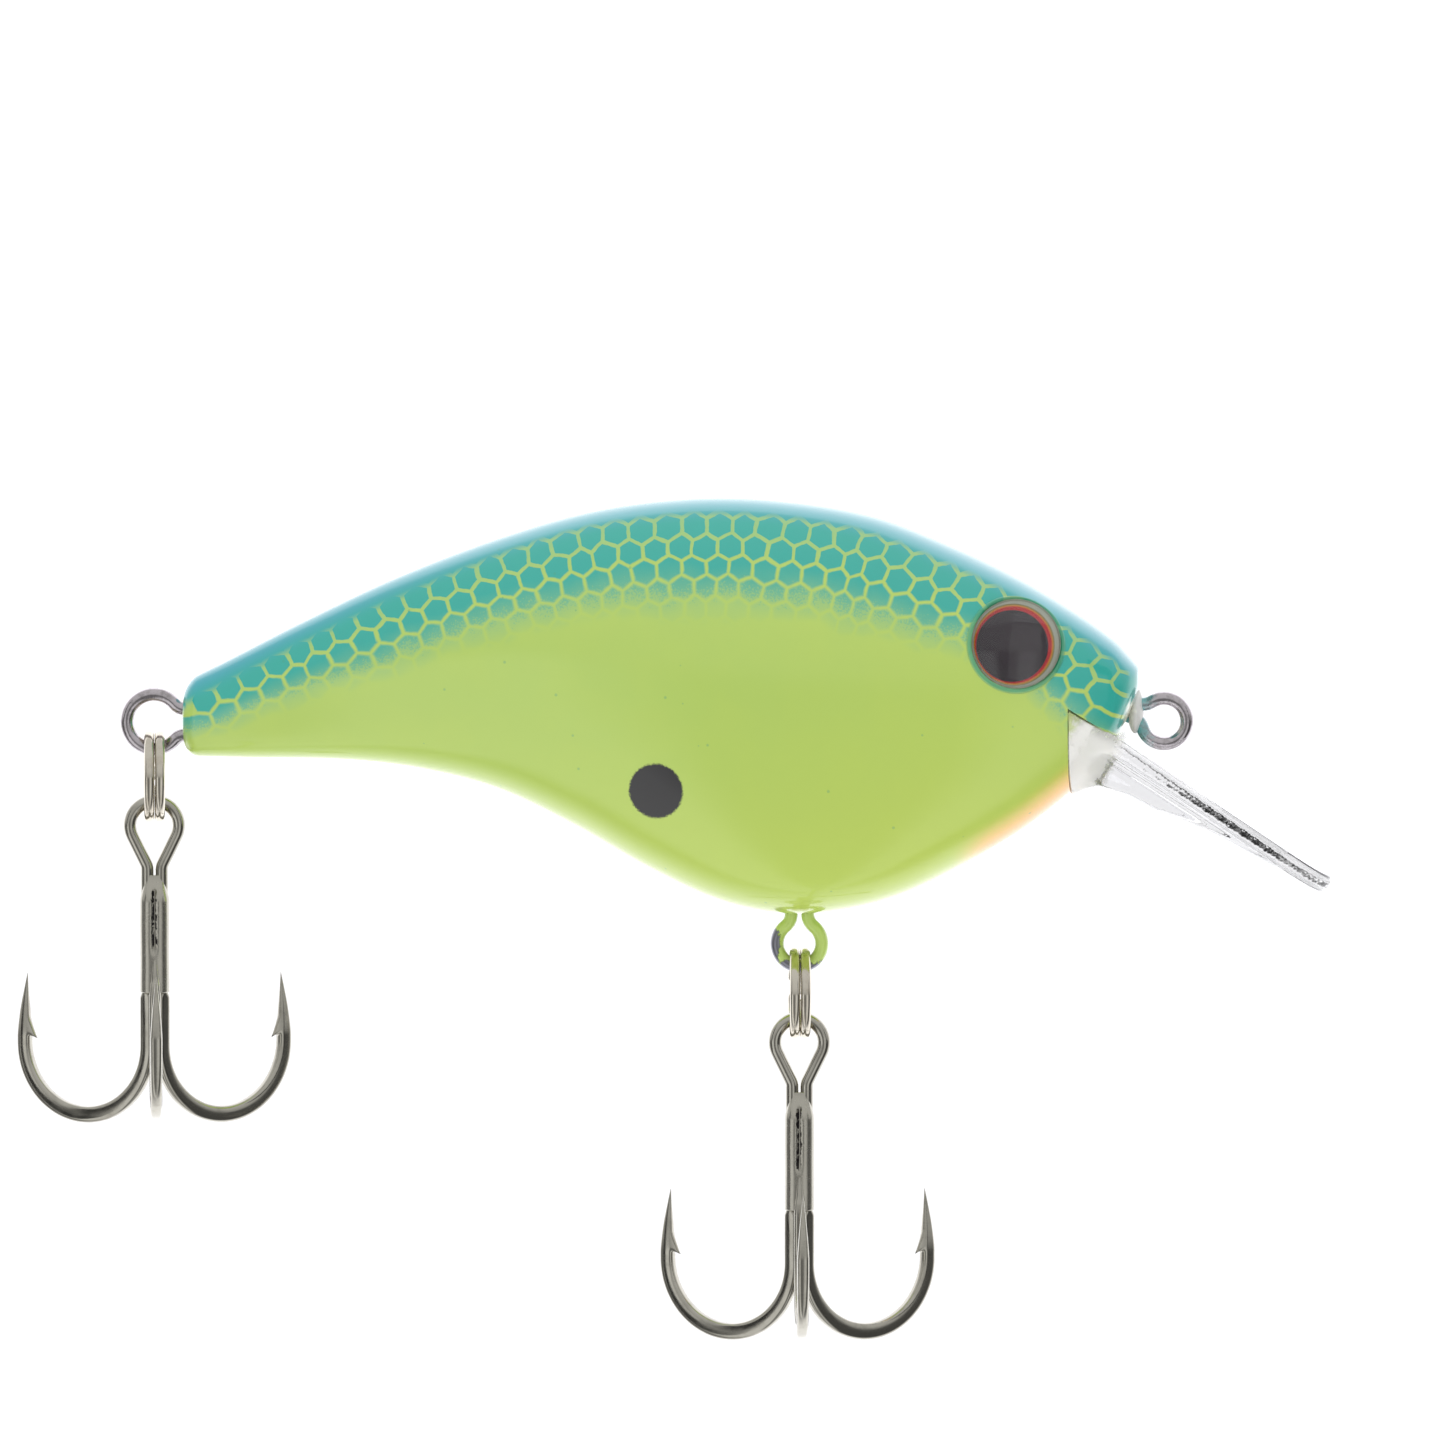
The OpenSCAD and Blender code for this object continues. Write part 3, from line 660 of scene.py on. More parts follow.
@dataclass(frozen=True)
class ChippedWire:
    """Painted wire whose paint has chipped off where the ring knocks on it."""

    paint: Colour = from_screen(188, 213, 108)
    metal: Colour = from_screen(150, 150, 160)

    def build(self) -> bpy.types.Material:
        """Writes the chipped paint.

        Returns:
            The material.
        """
        g = Graph("chipped_wire")
        here = g.place()
        _, knock = g.sheet("knock")
        ragged = g.noise(here, 1.5, 5.0, 0.7)
        worn = g.math("ADD", knock, g.math("MULTIPLY", g.math("SUBTRACT", ragged, 0.5), 1.5))
        bare = g.step(worn, 0.60, 0.64)
        lip = g.step(worn, 0.52, 0.60)
        colour = g.mix(lip, self.paint, from_screen(132, 156, 60))
        colour = g.mix(bare, colour, self.metal)
        g.set(Base_Color=colour, Metallic=bare, Coat_Weight=g.math("MULTIPLY_ADD", bare, -0.8, 0.8))
        g.set(Roughness=g.math("MULTIPLY_ADD", g.noise(here, 3.0, 2.0), 0.2, 0.22), Coat_Roughness=0.05)
        height = g.math("MULTIPLY_ADD", bare, -1.0, g.math("MULTIPLY", g.noise(here, 1.2, 2.0), 0.35))
        g.set(Normal=g.relief(height, 0.05, 0.8))
        return g.material


@dataclass(frozen=True)
class LipPlastic:
    """Clear moulded plastic with flow lines, oversprayed at its root, frosted in a strip, and milky over the root
    block, which is partly haze and partly painted light for light passing through the clear root.
    """

    clear: Colour = (0.85, 0.85, 0.86)
    frost_and_painted_light: Colour = (0.95, 0.94, 0.90)
    spray: Colour = from_screen(208, 222, 150)
    strip_at: float = 1.75
    strip_half: float = 0.75
    strip_low: tuple[float, float] = (3.4, 5.2)
    sprayed_to: tuple[float, float] = (0.5, 1.5)
    haze_and_painted_light_to: tuple[float, float] = (3.7, 4.7)
    haze_and_painted_light_top: tuple[float, float] = (0.2, 0.8)
    ior: float = 1.55

    def build(self) -> bpy.types.Material:
        """Writes the clear plastic.

        Returns:
            The material.
        """
        g = Graph("lip_plastic")
        here = g.place()
        ahead, under = g.sheet("lip")
        _, side, _ = g.split(here)
        mottle = g.noise(here, 2.4, 4.0, 0.65)
        uneven = g.math("SUBTRACT", mottle, 0.5)
        off = g.math("ABSOLUTE", g.math("SUBTRACT", ahead, self.strip_at))
        strip = g.step(g.math("MULTIPLY_ADD", uneven, 1.6, off), self.strip_half, self.strip_half * 0.3)
        strip = g.math("MULTIPLY", strip, g.step(under, self.strip_low[1], self.strip_low[0]))
        wavy = g.math("MULTIPLY_ADD", uneven, 2.2, ahead)
        sprayed = g.step(wavy, self.sprayed_to[1], self.sprayed_to[0])
        # the milky zone over the root is partly haze and partly painted light: pale, nearly opaque plastic stands
        # in for light passing through the clear root
        haze_and_painted_light = g.step(g.math("MULTIPLY_ADD", uneven, 1.2, ahead), self.haze_and_painted_light_to[1], self.haze_and_painted_light_to[0])
        haze_and_painted_light = g.math("MULTIPLY", haze_and_painted_light, g.step(under, *self.haze_and_painted_light_top, 0.7, 1.0))
        haze_and_painted_light_share = g.math("MAXIMUM", strip, g.math("MULTIPLY", haze_and_painted_light, 0.9))
        haze_and_painted_light_tint = g.mix(sprayed, g.mix(haze_and_painted_light, self.clear, self.frost_and_painted_light), self.spray)
        colour = g.mix(strip, haze_and_painted_light_tint, self.frost_and_painted_light)
        # flow lines run out along the bill
        drawn = g.join(g.math("MULTIPLY", ahead, 0.06), g.math("MULTIPLY", side, 0.4), under)
        flow = g.noise(drawn, 1.0, 1.0, 0.5)
        g.set(Base_Color=colour, IOR=self.ior)
        # transmission drops over the frosted strip and over the painted-light haze of the root
        g.set(Transmission_Weight=g.math("MULTIPLY_ADD", haze_and_painted_light_share, -0.85, 1.0))
        g.set(Roughness=g.math("MULTIPLY_ADD", haze_and_painted_light_share, 0.42, g.math("MULTIPLY", mottle, 0.02)))
        ripple = g.math("MULTIPLY_ADD", g.math("MULTIPLY", strip, mottle), 1.2, flow)
        g.set(Normal=g.relief(ripple, 0.09, 0.5))
        return g.material


@dataclass(frozen=True)
class LensPlastic:
    """Clear cast lens with a faint smoky edge."""

    def build(self) -> bpy.types.Material:
        """Writes the lens.

        Returns:
            The material.
        """
        g = Graph("lens_plastic")
        rim, _ = g.sheet("lens")
        g.set(Base_Color=g.mix(g.step(rim, 0.93, 1.0), (1.0, 1.0, 1.0), from_screen(214, 218, 204)))
        g.set(Transmission_Weight=1.0, IOR=1.49)
        g.set(Roughness=g.math("MULTIPLY", g.noise(g.place(), 2.5, 2.0), 0.02))
        return g.material


@dataclass(frozen=True)
class FoilPrint:
    """Printed eye foil: dark pupil, thin red, orange and gold rings, silver margin."""

    pupil: float = 0.745
    ring: float = 0.050
    blur: float = 0.008
    pupil_tint: Colour = from_screen(40, 27, 38)
    red: Colour = from_screen(206, 28, 34)
    bands: tuple[tuple[float, Colour], ...] = (
        (0.9, from_screen(226, 110, 34)),
        (1.3, from_screen(206, 150, 44)),
        (1.8, from_screen(150, 148, 92)),
        (2.3, from_screen(196, 200, 184)),
    )

    def build(self) -> bpy.types.Material:
        """Writes the foil.

        Returns:
            The material.
        """
        g = Graph("foil_print")
        r, dark = g.sheet("foil")
        here = g.place()
        grain = g.noise(here, 6.0, 2.0)
        ragged = g.math("MULTIPLY", g.math("SUBTRACT", grain, 0.5), 0.012)
        r, dark = g.math("ADD", r, ragged), g.math("ADD", dark, ragged)
        colour = g.mix(g.step(dark, self.pupil - 0.012, self.pupil + 0.004), self.pupil_tint, self.red)
        for rings_out, tint in self.bands:
            at = self.pupil + self.ring * rings_out
            colour = g.mix(g.step(r, at - self.blur, at + self.blur), colour, tint)
        metal = g.step(r, self.pupil, self.pupil + 0.02)
        g.set(Base_Color=colour, Metallic=g.math("MULTIPLY", metal, 0.25), Roughness=0.4)
        g.set(Specular_IOR_Level=0.05, Normal=g.relief(grain, 0.01, 0.4))
        return g.material


@dataclass(frozen=True)
class Plating:
    """Plated steel: a tint, a darker stain, and how fine and how rough its surface is."""

    name: str
    bright: Colour
    stain: Colour
    smoothest: float
    roughest: float
    sheet: str

    def build(self) -> bpy.types.Material:
        """Writes the plating.

        Returns:
            The material.
        """
        g = Graph(self.name)
        here = g.place()
        along, share = g.sheet(self.sheet)
        drawn = g.join(g.math("MULTIPLY", along, 0.35), g.math("MULTIPLY", share, 22.0))
        lines = g.noise(drawn, 1.0, 2.0)
        blotch = g.noise(here, 0.8, 4.0, 0.6)
        pits = g.step(g.grains(here, 2.6), 0.13, 0.05)
        dark = g.math("MULTIPLY_ADD", pits, 0.30, g.step(blotch, 0.42, 0.78, 0.0, 0.40))
        g.set(Base_Color=g.mix(dark, self.bright, self.stain), Metallic=1.0)
        g.set(Roughness=g.step(g.math("ADD", blotch, g.math("MULTIPLY", lines, 0.5)), 0.45, 1.0,
                               self.smoothest, self.roughest))
        height = g.math("ADD", g.math("MULTIPLY", lines, 0.5), g.math("MULTIPLY", pits, -0.5))
        g.set(Normal=g.relief(height, 0.012, 0.25))
        return g.material


@dataclass(frozen=True)
class BrazeMetal:
    """Rough braze between the shanks, pitted black along its seam."""

    bright: Colour = from_screen(186, 183, 172)
    pit: Colour = from_screen(22, 18, 20)

    def build(self) -> bpy.types.Material:
        """Writes the braze.

        Returns:
            The material.
        """
        g = Graph("braze_metal")
        here = g.place()
        _, seam = g.sheet("braze")
        lumps = g.noise(g.stretch(here, (1.0, 1.0, 0.6)), 3.6, 4.0, 0.7)
        black = g.step(g.math("MULTIPLY_ADD", g.math("SUBTRACT", lumps, 0.5), 3.0, seam), 0.62, 0.74)
        black = g.math("MULTIPLY", black, g.step(seam, 0.05, 0.3))
        g.set(Base_Color=g.mix(black, self.bright, self.pit))
        g.set(Metallic=g.math("MULTIPLY_ADD", black, -0.5, 1.0))
        g.set(Roughness=g.math("MULTIPLY_ADD", lumps, 0.18, 0.16))
        depth = g.math("MULTIPLY_ADD", seam, 0.9, 0.06)
        torn = g.math("MULTIPLY", g.math("SUBTRACT", lumps, black), depth)
        g.set(Normal=g.relief(torn, 0.08, 0.8))
        return g.material


@dataclass(frozen=True)
class CastMetal:
    """Grey cast or ground metal for the weights inside."""

    name: str
    tint: Colour
    rough: float
    grain: float
    shade: float = 0.45

    def build(self) -> bpy.types.Material:
        """Writes the metal.

        Returns:
            The material.
        """
        g = Graph(self.name)
        here = g.place()
        mottle = g.noise(here, self.grain, 4.0, 0.6)
        shaded = tuple(self.shade * part for part in self.tint)
        g.set(Base_Color=g.mix(g.step(mottle, 0.4, 0.8), self.tint, shaded), Metallic=1.0)
        g.set(Roughness=g.math("MULTIPLY_ADD", mottle, 0.25, self.rough))
        g.set(Normal=g.relief(mottle, 0.04, 0.5))
        return g.material


# ---------------------------------------------------------------- body


@dataclass
class BodyForm:
    """Outer form of the body, from the same outlines as the frame."""

    nose_x: float = field(default_factory=lambda: float(corner_of("body_right", 1)[0]))
    tail_x: float = field(default_factory=lambda: float(corner_of("body_right", 0)[0]))
    body_h: float = 27.0
    body_w: float = 14.6
    tail_power: float = 2.2
    nose_power: float = 3.0
    tail_round: float = 1.0
    nose_round: float = 1.6
    tail_flat: float = 0.6
    nose_flat: float = 0.5
    back_knots: Array = field(default_factory=lambda: np.array([
        [0, 0.085], [0.04, 0.13], [0.12, 0.225], [0.22, 0.335], [0.33, 0.434], [0.43, 0.501], [0.53, 0.532],
        [0.62, 0.529], [0.72, 0.493], [0.8, 0.425], [0.88, 0.337], [0.95, 0.238], [1, 0.15]]))
    belly_knots: Array = field(default_factory=lambda: np.array([
        [0, -0.095], [0.06, -0.098], [0.17, -0.102], [0.25, -0.123], [0.33, -0.17], [0.41, -0.256], [0.49, -0.36],
        [0.56, -0.434], [0.62, -0.465], [0.68, -0.462], [0.75, -0.423], [0.82, -0.345], [0.88, -0.262],
        [0.93, -0.172], [0.96, -0.105], [0.985, -0.015], [1, 0.06]]))
    plan_knots: Array = field(default_factory=lambda: np.array([
        [0, 0.25], [0.06, 0.33], [0.18, 0.47], [0.3, 0.66], [0.42, 0.84], [0.54, 0.96], [0.64, 1], [0.75, 0.985],
        [0.85, 0.91], [0.93, 0.76], [1, 0.5]]))

    def share(self, x: Array) -> Array:
        """Share of the length from the tail."""
        return (np.clip(x, self.tail_x, self.nose_x) - self.tail_x) / (self.nose_x - self.tail_x)

    def back(self, x: Array) -> Array:
        """Height of the back."""
        return self.body_h * hermite(self.back_knots, self.share(x))

    def belly(self, x: Array) -> Array:
        """Height of the belly."""
        return self.body_h * hermite(self.belly_knots, self.share(x))

    def half_width(self, x: Array) -> Array:
        """Half the width at the widest level."""
        return self.body_w / 2 * hermite(self.plan_knots, self.share(x))

    def power(self, x: Array) -> Array:
        """Squareness of the section."""
        return self.tail_power + (self.nose_power - self.tail_power) * self.share(x)

    def swell(self, x: Array) -> Array:
        """Share of the full section, which rounds over at both ends."""
        nose = np.clip((self.nose_x - x) / self.nose_round, 0, 1)
        tail = np.clip((x - self.tail_x) / self.tail_round, 0, 1)
        at_nose = self.nose_flat + (1 - self.nose_flat) * np.sqrt(1 - (1 - nose) ** 2)
        at_tail = self.tail_flat + (1 - self.tail_flat) * np.sqrt(1 - (1 - tail) ** 2)
        return np.minimum(at_nose, at_tail)

    def flank(self, x: Array, z: Array) -> Array:
        """Half width of the skin at a height."""
        high, low, p = self.back(x), self.belly(x), self.power(x)
        rise = np.abs((z - (high + low) / 2) / ((high - low) / 2))
        return self.half_width(x) * np.maximum(0, 1 - rise**p) ** (1 / p)

    def section(self, x: Array, size: Array, a: Array) -> Array:
        """Points of the skin: a super-ellipse on the ray at angle a from the flank.

        Args:
            x: stations.
            size: share of the full section at each station.
            a: ray angles.

        Returns:
            Grid of stations by angles by three.
        """
        high, low, p = self.back(x)[:, None], self.belly(x)[:, None], self.power(x)[:, None]
        c, s = np.cos(a)[None], np.sin(a)[None]
        k = (np.abs(c) ** p + np.abs(s) ** p) ** (1 / p)
        y = size[:, None] * self.half_width(x)[:, None] * c / k
        z = (high + low) / 2 + size[:, None] * (high - low) / 2 * s / k
        return np.stack([np.broadcast_to(x[:, None], y.shape), y, z], -1)

    def depth_below_back(self, places: Array) -> tuple[Array, Array]:
        """Length along the back and distance from it, seen from the side.

        The foot of each place on the back outline is found by Newton steps on its distance.

        Args:
            places: points on the skin.

        Returns:
            Length along the back and distance from it, one number per point each.
        """
        x, z = places[:, 0], places[:, 2]
        t, h = np.clip(x, self.tail_x + 0.2, self.nose_x - 0.2), 0.05
        for _ in range(12):
            here, before, after = self.back(t), self.back(t - h), self.back(t + h)
            slope, bend = (after - before) / (2 * h), (after + before - 2 * here) / h**2
            pull = (t - x) + (here - z) * slope
            stiff = np.maximum(1 + slope**2 + (here - z) * bend, 0.4)
            t = np.clip(t - np.clip(pull / stiff, -2, 2), self.tail_x, self.nose_x)
        ruler = np.linspace(self.tail_x, self.nose_x, 1200)
        run = np.concatenate([[0], np.cumsum(np.hypot(np.diff(ruler), np.diff(self.back(ruler))))])
        return np.interp(t, ruler, run), np.hypot(x - t, z - self.back(t))


@dataclass
class Body:
    """Painted body: one skin over both shells, with the eye sockets and the seat of the lip cut in."""

    form: BodyForm
    eye: "EyeSeat"
    lip: "LipSeat"
    stations: int = 250
    around: int = 168
    spot: tuple[float, float] = (-32.5, -4.35)
    fade_depth: Array = field(default_factory=lambda: np.array([
        [-64, 3.9], [-61, 4.3], [-50, 5.8], [-38, 6.9], [-28, 7.9], [-20, 7.3], [-14, 6.4], [-9, 5.8], [-7, 6.6],
        [-5, 7.1], [-1.6, 8.0]]))
    throat_depth: float = 1.9

    def grid(self) -> Array:
        """Rings of the skin, closer together at both ends, each end drawn in to a small flat.

        Returns:
            Grid of rings by points by three.
        """
        f = self.form
        lean = np.linspace(0, math.pi / 2, 12)
        tail = f.tail_x + f.tail_round * (1 - np.cos(lean))
        nose = f.nose_x - f.nose_round * (1 - np.cos(lean[::-1]))
        x = np.concatenate([tail, np.linspace(tail[-1], nose[0], self.stations)[1:-1], nose])
        size = np.concatenate([
            f.tail_flat + (1 - f.tail_flat) * np.sin(lean), np.ones(self.stations - 2),
            f.nose_flat + (1 - f.nose_flat) * np.sin(lean[::-1])])
        inner = np.linspace(0.12, 0.94, 6)
        x = np.concatenate([np.full(6, x[0]), x, np.full(6, x[-1])])
        size = np.concatenate([inner * f.tail_flat, size, inner[::-1] * f.nose_flat])
        a = np.linspace(0, TURN, self.around, endpoint=False) + math.pi / self.around
        return f.section(x, size, a)

    def paint_maps(self, places: Array) -> dict[str, Array]:
        """Where each point lies in the paint scheme.

        Args:
            places: points on the skin.

        Returns:
            Maps: rows (along, across), spray (fade, throat), marks (from spot, from eye), shade.
        """
        x, y, z = places.T
        along, across = self.form.depth_below_back(places)
        fade = across / np.interp(x, self.fade_depth[:, 0], self.fade_depth[:, 1])
        h = 0.1
        slope = (self.form.belly(x + h) - self.form.belly(x - h)) / (2 * h)
        above = (z - self.form.belly(x)) / np.sqrt(1 + slope**2)
        throat = smooth(above, self.throat_depth, 0.2) * smooth(x, -13.8, -10.8) * smooth(x, -4.9, -5.9)
        from_spot = np.hypot(x - self.spot[0], z - self.spot[1])
        folded = np.stack([x, np.abs(y), z], -1) - self.eye.centre()
        out = self.eye.axis()
        from_eye = np.linalg.norm(folded - (folded @ out)[:, None] * out, axis=1)
        level = smooth(z, -11, 4) * 0.7 + 0.3 * smooth(x, -8, -30)
        sunk = smooth(self.form.flank(x, z) - np.abs(y), 0.25, 0.7)
        bare = sunk * (x > self.lip.root_x() - 0.2) * (z < 1.3)
        return {
            "rows": np.stack([along, across], -1),
            "spray": np.stack([fade, throat], -1),
            "marks": np.stack([from_spot, np.where(np.abs(y) > 1, from_eye, 9.0)], -1),
            "shade": np.stack([level, bare], -1),
        }

    def build(self, paint: bpy.types.Material) -> bpy.types.Object:
        """Makes the skin, cuts it and dresses it.

        Args:
            paint: the body paint.

        Returns:
            The piece.
        """
        obj = skin("painted_body", self.grid())
        cut(obj, [self.lip.notch_tool(), *(self.eye.socket_tool(side) for side in Side)])
        lay_maps(obj, self.paint_maps(points_of(obj)))
        obj.data.set_sharp_from_angle(angle=math.radians(38))
        return finish_piece(obj, "body", paint, ("body_left", "body_right"))


# ---------------------------------------------------------------- eyes


@dataclass
class EyeSeat:
    """Where an eye sits, and the socket for it."""

    form: BodyForm
    back: float = 7.65
    level: float = 5.25
    toe: float = math.radians(7)
    tilt: float = math.radians(8)
    lens_d: float = 5.8
    play: float = 0.04
    deep: float = 1.1

    def centre(self) -> Array:
        """Middle of the eye on the skin of the left flank."""
        x = self.form.nose_x - self.back
        y = float(self.form.flank(np.array([x]), np.array([self.level]))[0])
        return np.array([x, y, self.level])

    def axis(self) -> Array:
        """Direction in which the left eye looks."""
        flat = math.cos(self.tilt)
        return np.array([math.sin(self.toe) * flat, math.cos(self.toe) * flat, math.sin(self.tilt)])

    def put(self, grid: Array, side: Side) -> Array:
        """Moves a form turned round Z to the eye on a flank, Z along the axis of the eye."""
        out = self.axis()
        fore = unit(np.cross(out, np.array([0.0, 0, 1]))[None])[0]
        up = np.cross(fore, out)
        placed = self.centre() + grid[..., :1] * fore + grid[..., 1:2] * up + grid[..., 2:] * out
        return placed * np.array([1, side.value, 1])

    def socket_tool(self, side: Side) -> bpy.types.Object:
        """Cylinder that cuts the socket."""
        r = self.lens_d / 2 + self.play
        profile = np.array([[r * 0.5, -self.deep], [r, -self.deep], [r, 3.0], [r * 0.5, 3.0]])
        return skin("socket_tool", self.put(turned(profile, 144), side))


@dataclass
class Eye:
    """Printed foil, clear domed lens and the painted bead round the socket, on one flank."""

    seat: EyeSeat
    side: Side
    foil_t: float = 0.2
    off_centre: float = -0.05
    dome: float = 0.9
    bead: float = 0.17
    lens_edge: float = 0.12

    def foil(self, material: bpy.types.Material) -> bpy.types.Object:
        """Thin disc at the bottom of the socket, mapped by its radius."""
        r = self.seat.lens_d / 2 - self.seat.play
        top, low = self.foil_t - self.seat.deep, 0.01 - self.seat.deep
        radii = np.linspace(0.02, 1, 40) * r
        under = np.stack([radii, np.full(40, low)], -1)
        above = np.stack([radii[::-1], np.full(40, top - 0.01)], -1)
        grid = turned(np.concatenate([under, above]), 96)
        fore, up, off = grid[..., 0], grid[..., 1], self.off_centre * r
        share = np.hypot(fore - off, up - 0.2 * off) / r
        dark = np.hypot(fore - 1.5 * off, up - 0.7 * off) / r
        name = f"eye_foil_{self.side.name.lower()}"
        maps = {"foil": np.stack([share, dark], -1)}
        obj = skin(name + "_print", self.seat.put(grid, self.side), maps)
        obj.data.set_sharp_from_angle(angle=math.radians(40))
        return finish_piece(obj, "body", material, (name,))

    def lens(self, material: bpy.types.Material) -> bpy.types.Object:
        """Cast lens: a short barrel with a rounded edge under a dome.

        The dome is the cap of a sphere whose height is the dome height, and the edge rounds
        over between the barrel and the cap.
        """
        r, base = self.seat.lens_d / 2 - self.seat.play / 2, self.foil_t - self.seat.deep
        edge = self.lens_edge
        ball = (r**2 + self.dome**2) / (2 * self.dome)
        a = np.linspace(0, math.asin((r - edge) / ball), 48)[::-1]
        cap = np.stack([ball * np.sin(a) + 0.002, self.dome - ball + ball * np.cos(a)], -1)
        lean = np.linspace(0, 1, 8)[1:-1, None] * math.pi / 2
        drop = 0.6 * edge
        shoulder = cap[0, 1] - drop
        bend = np.concatenate([r - edge + edge * np.cos(lean), shoulder + drop * np.sin(lean)], -1)
        wall = np.stack([np.full(8, r), np.linspace(base + 0.05, shoulder, 8)], -1)
        floor = np.stack([np.linspace(0.02, r - 0.05, 24), np.full(24, base)], -1)
        profile = np.concatenate([floor, wall, bend, cap])
        grid = turned(profile, 120)
        share = np.broadcast_to((profile[:, 0] / r)[:, None], grid.shape[:2])
        name = f"eye_lens_{self.side.name.lower()}"
        maps = {"lens": np.stack([share, share], -1)}
        obj = skin(name + "_dome", self.seat.put(grid, self.side), maps)
        obj.data.set_sharp_from_angle(angle=math.radians(50))
        return finish_piece(obj, "body", material, (name,))

    def ring(self, paint: bpy.types.Material, body: Body) -> bpy.types.Object:
        """Painted bead where the skin turns into the socket.

        Its middle line is a circle round the eye axis dropped onto the skin, and its section is
        an ellipse flattened against the skin.
        """
        seat = self.seat
        r = seat.lens_d / 2 + seat.play + 0.6 * self.bead
        a = np.linspace(0, TURN, 160, endpoint=False)
        circle = seat.put(np.stack([r * np.cos(a), r * np.sin(a), 0 * a], -1)[None], Side.LEFT)[0]
        out = seat.axis()
        lift = np.zeros(len(a))
        for _ in range(8):
            at = circle + lift[:, None] * out
            lift += (seat.form.flank(at[:, 0], at[:, 2]) - at[:, 1]) / out[1]
        middle = circle + (lift - 0.03)[:, None] * out
        radial = unit(circle - seat.centre())
        b = np.linspace(0, TURN, 20, endpoint=False)
        grid = (
            middle[:, None]
            + self.bead * np.cos(b)[None, :, None] * radial[:, None]
            + 0.75 * self.bead * np.sin(b)[None, :, None] * out
        )
        maps = {k: m.reshape(160, 20, 2) for k, m in body.paint_maps(grid.reshape(-1, 3)).items()}
        grid = grid * np.array([1, self.side.value, 1])
        obj = hoop(f"eye_bead_{self.side.name.lower()}", grid, maps)
        return finish_piece(obj, "body", paint)

    def build(
        self,
        printed: bpy.types.Material,
        lens: bpy.types.Material,
        paint: bpy.types.Material,
        body: Body,
    ) -> None:
        """Makes and dresses the three pieces of one eye.

        Args:
            printed: the foil's finish.
            lens: the clear plastic of the lens.
            paint: the body paint.
            body: the body, for the paint scheme round the socket.
        """
        self.foil(printed)
        self.lens(lens)
        self.ring(paint, body)


# ---------------------------------------------------------------- lip


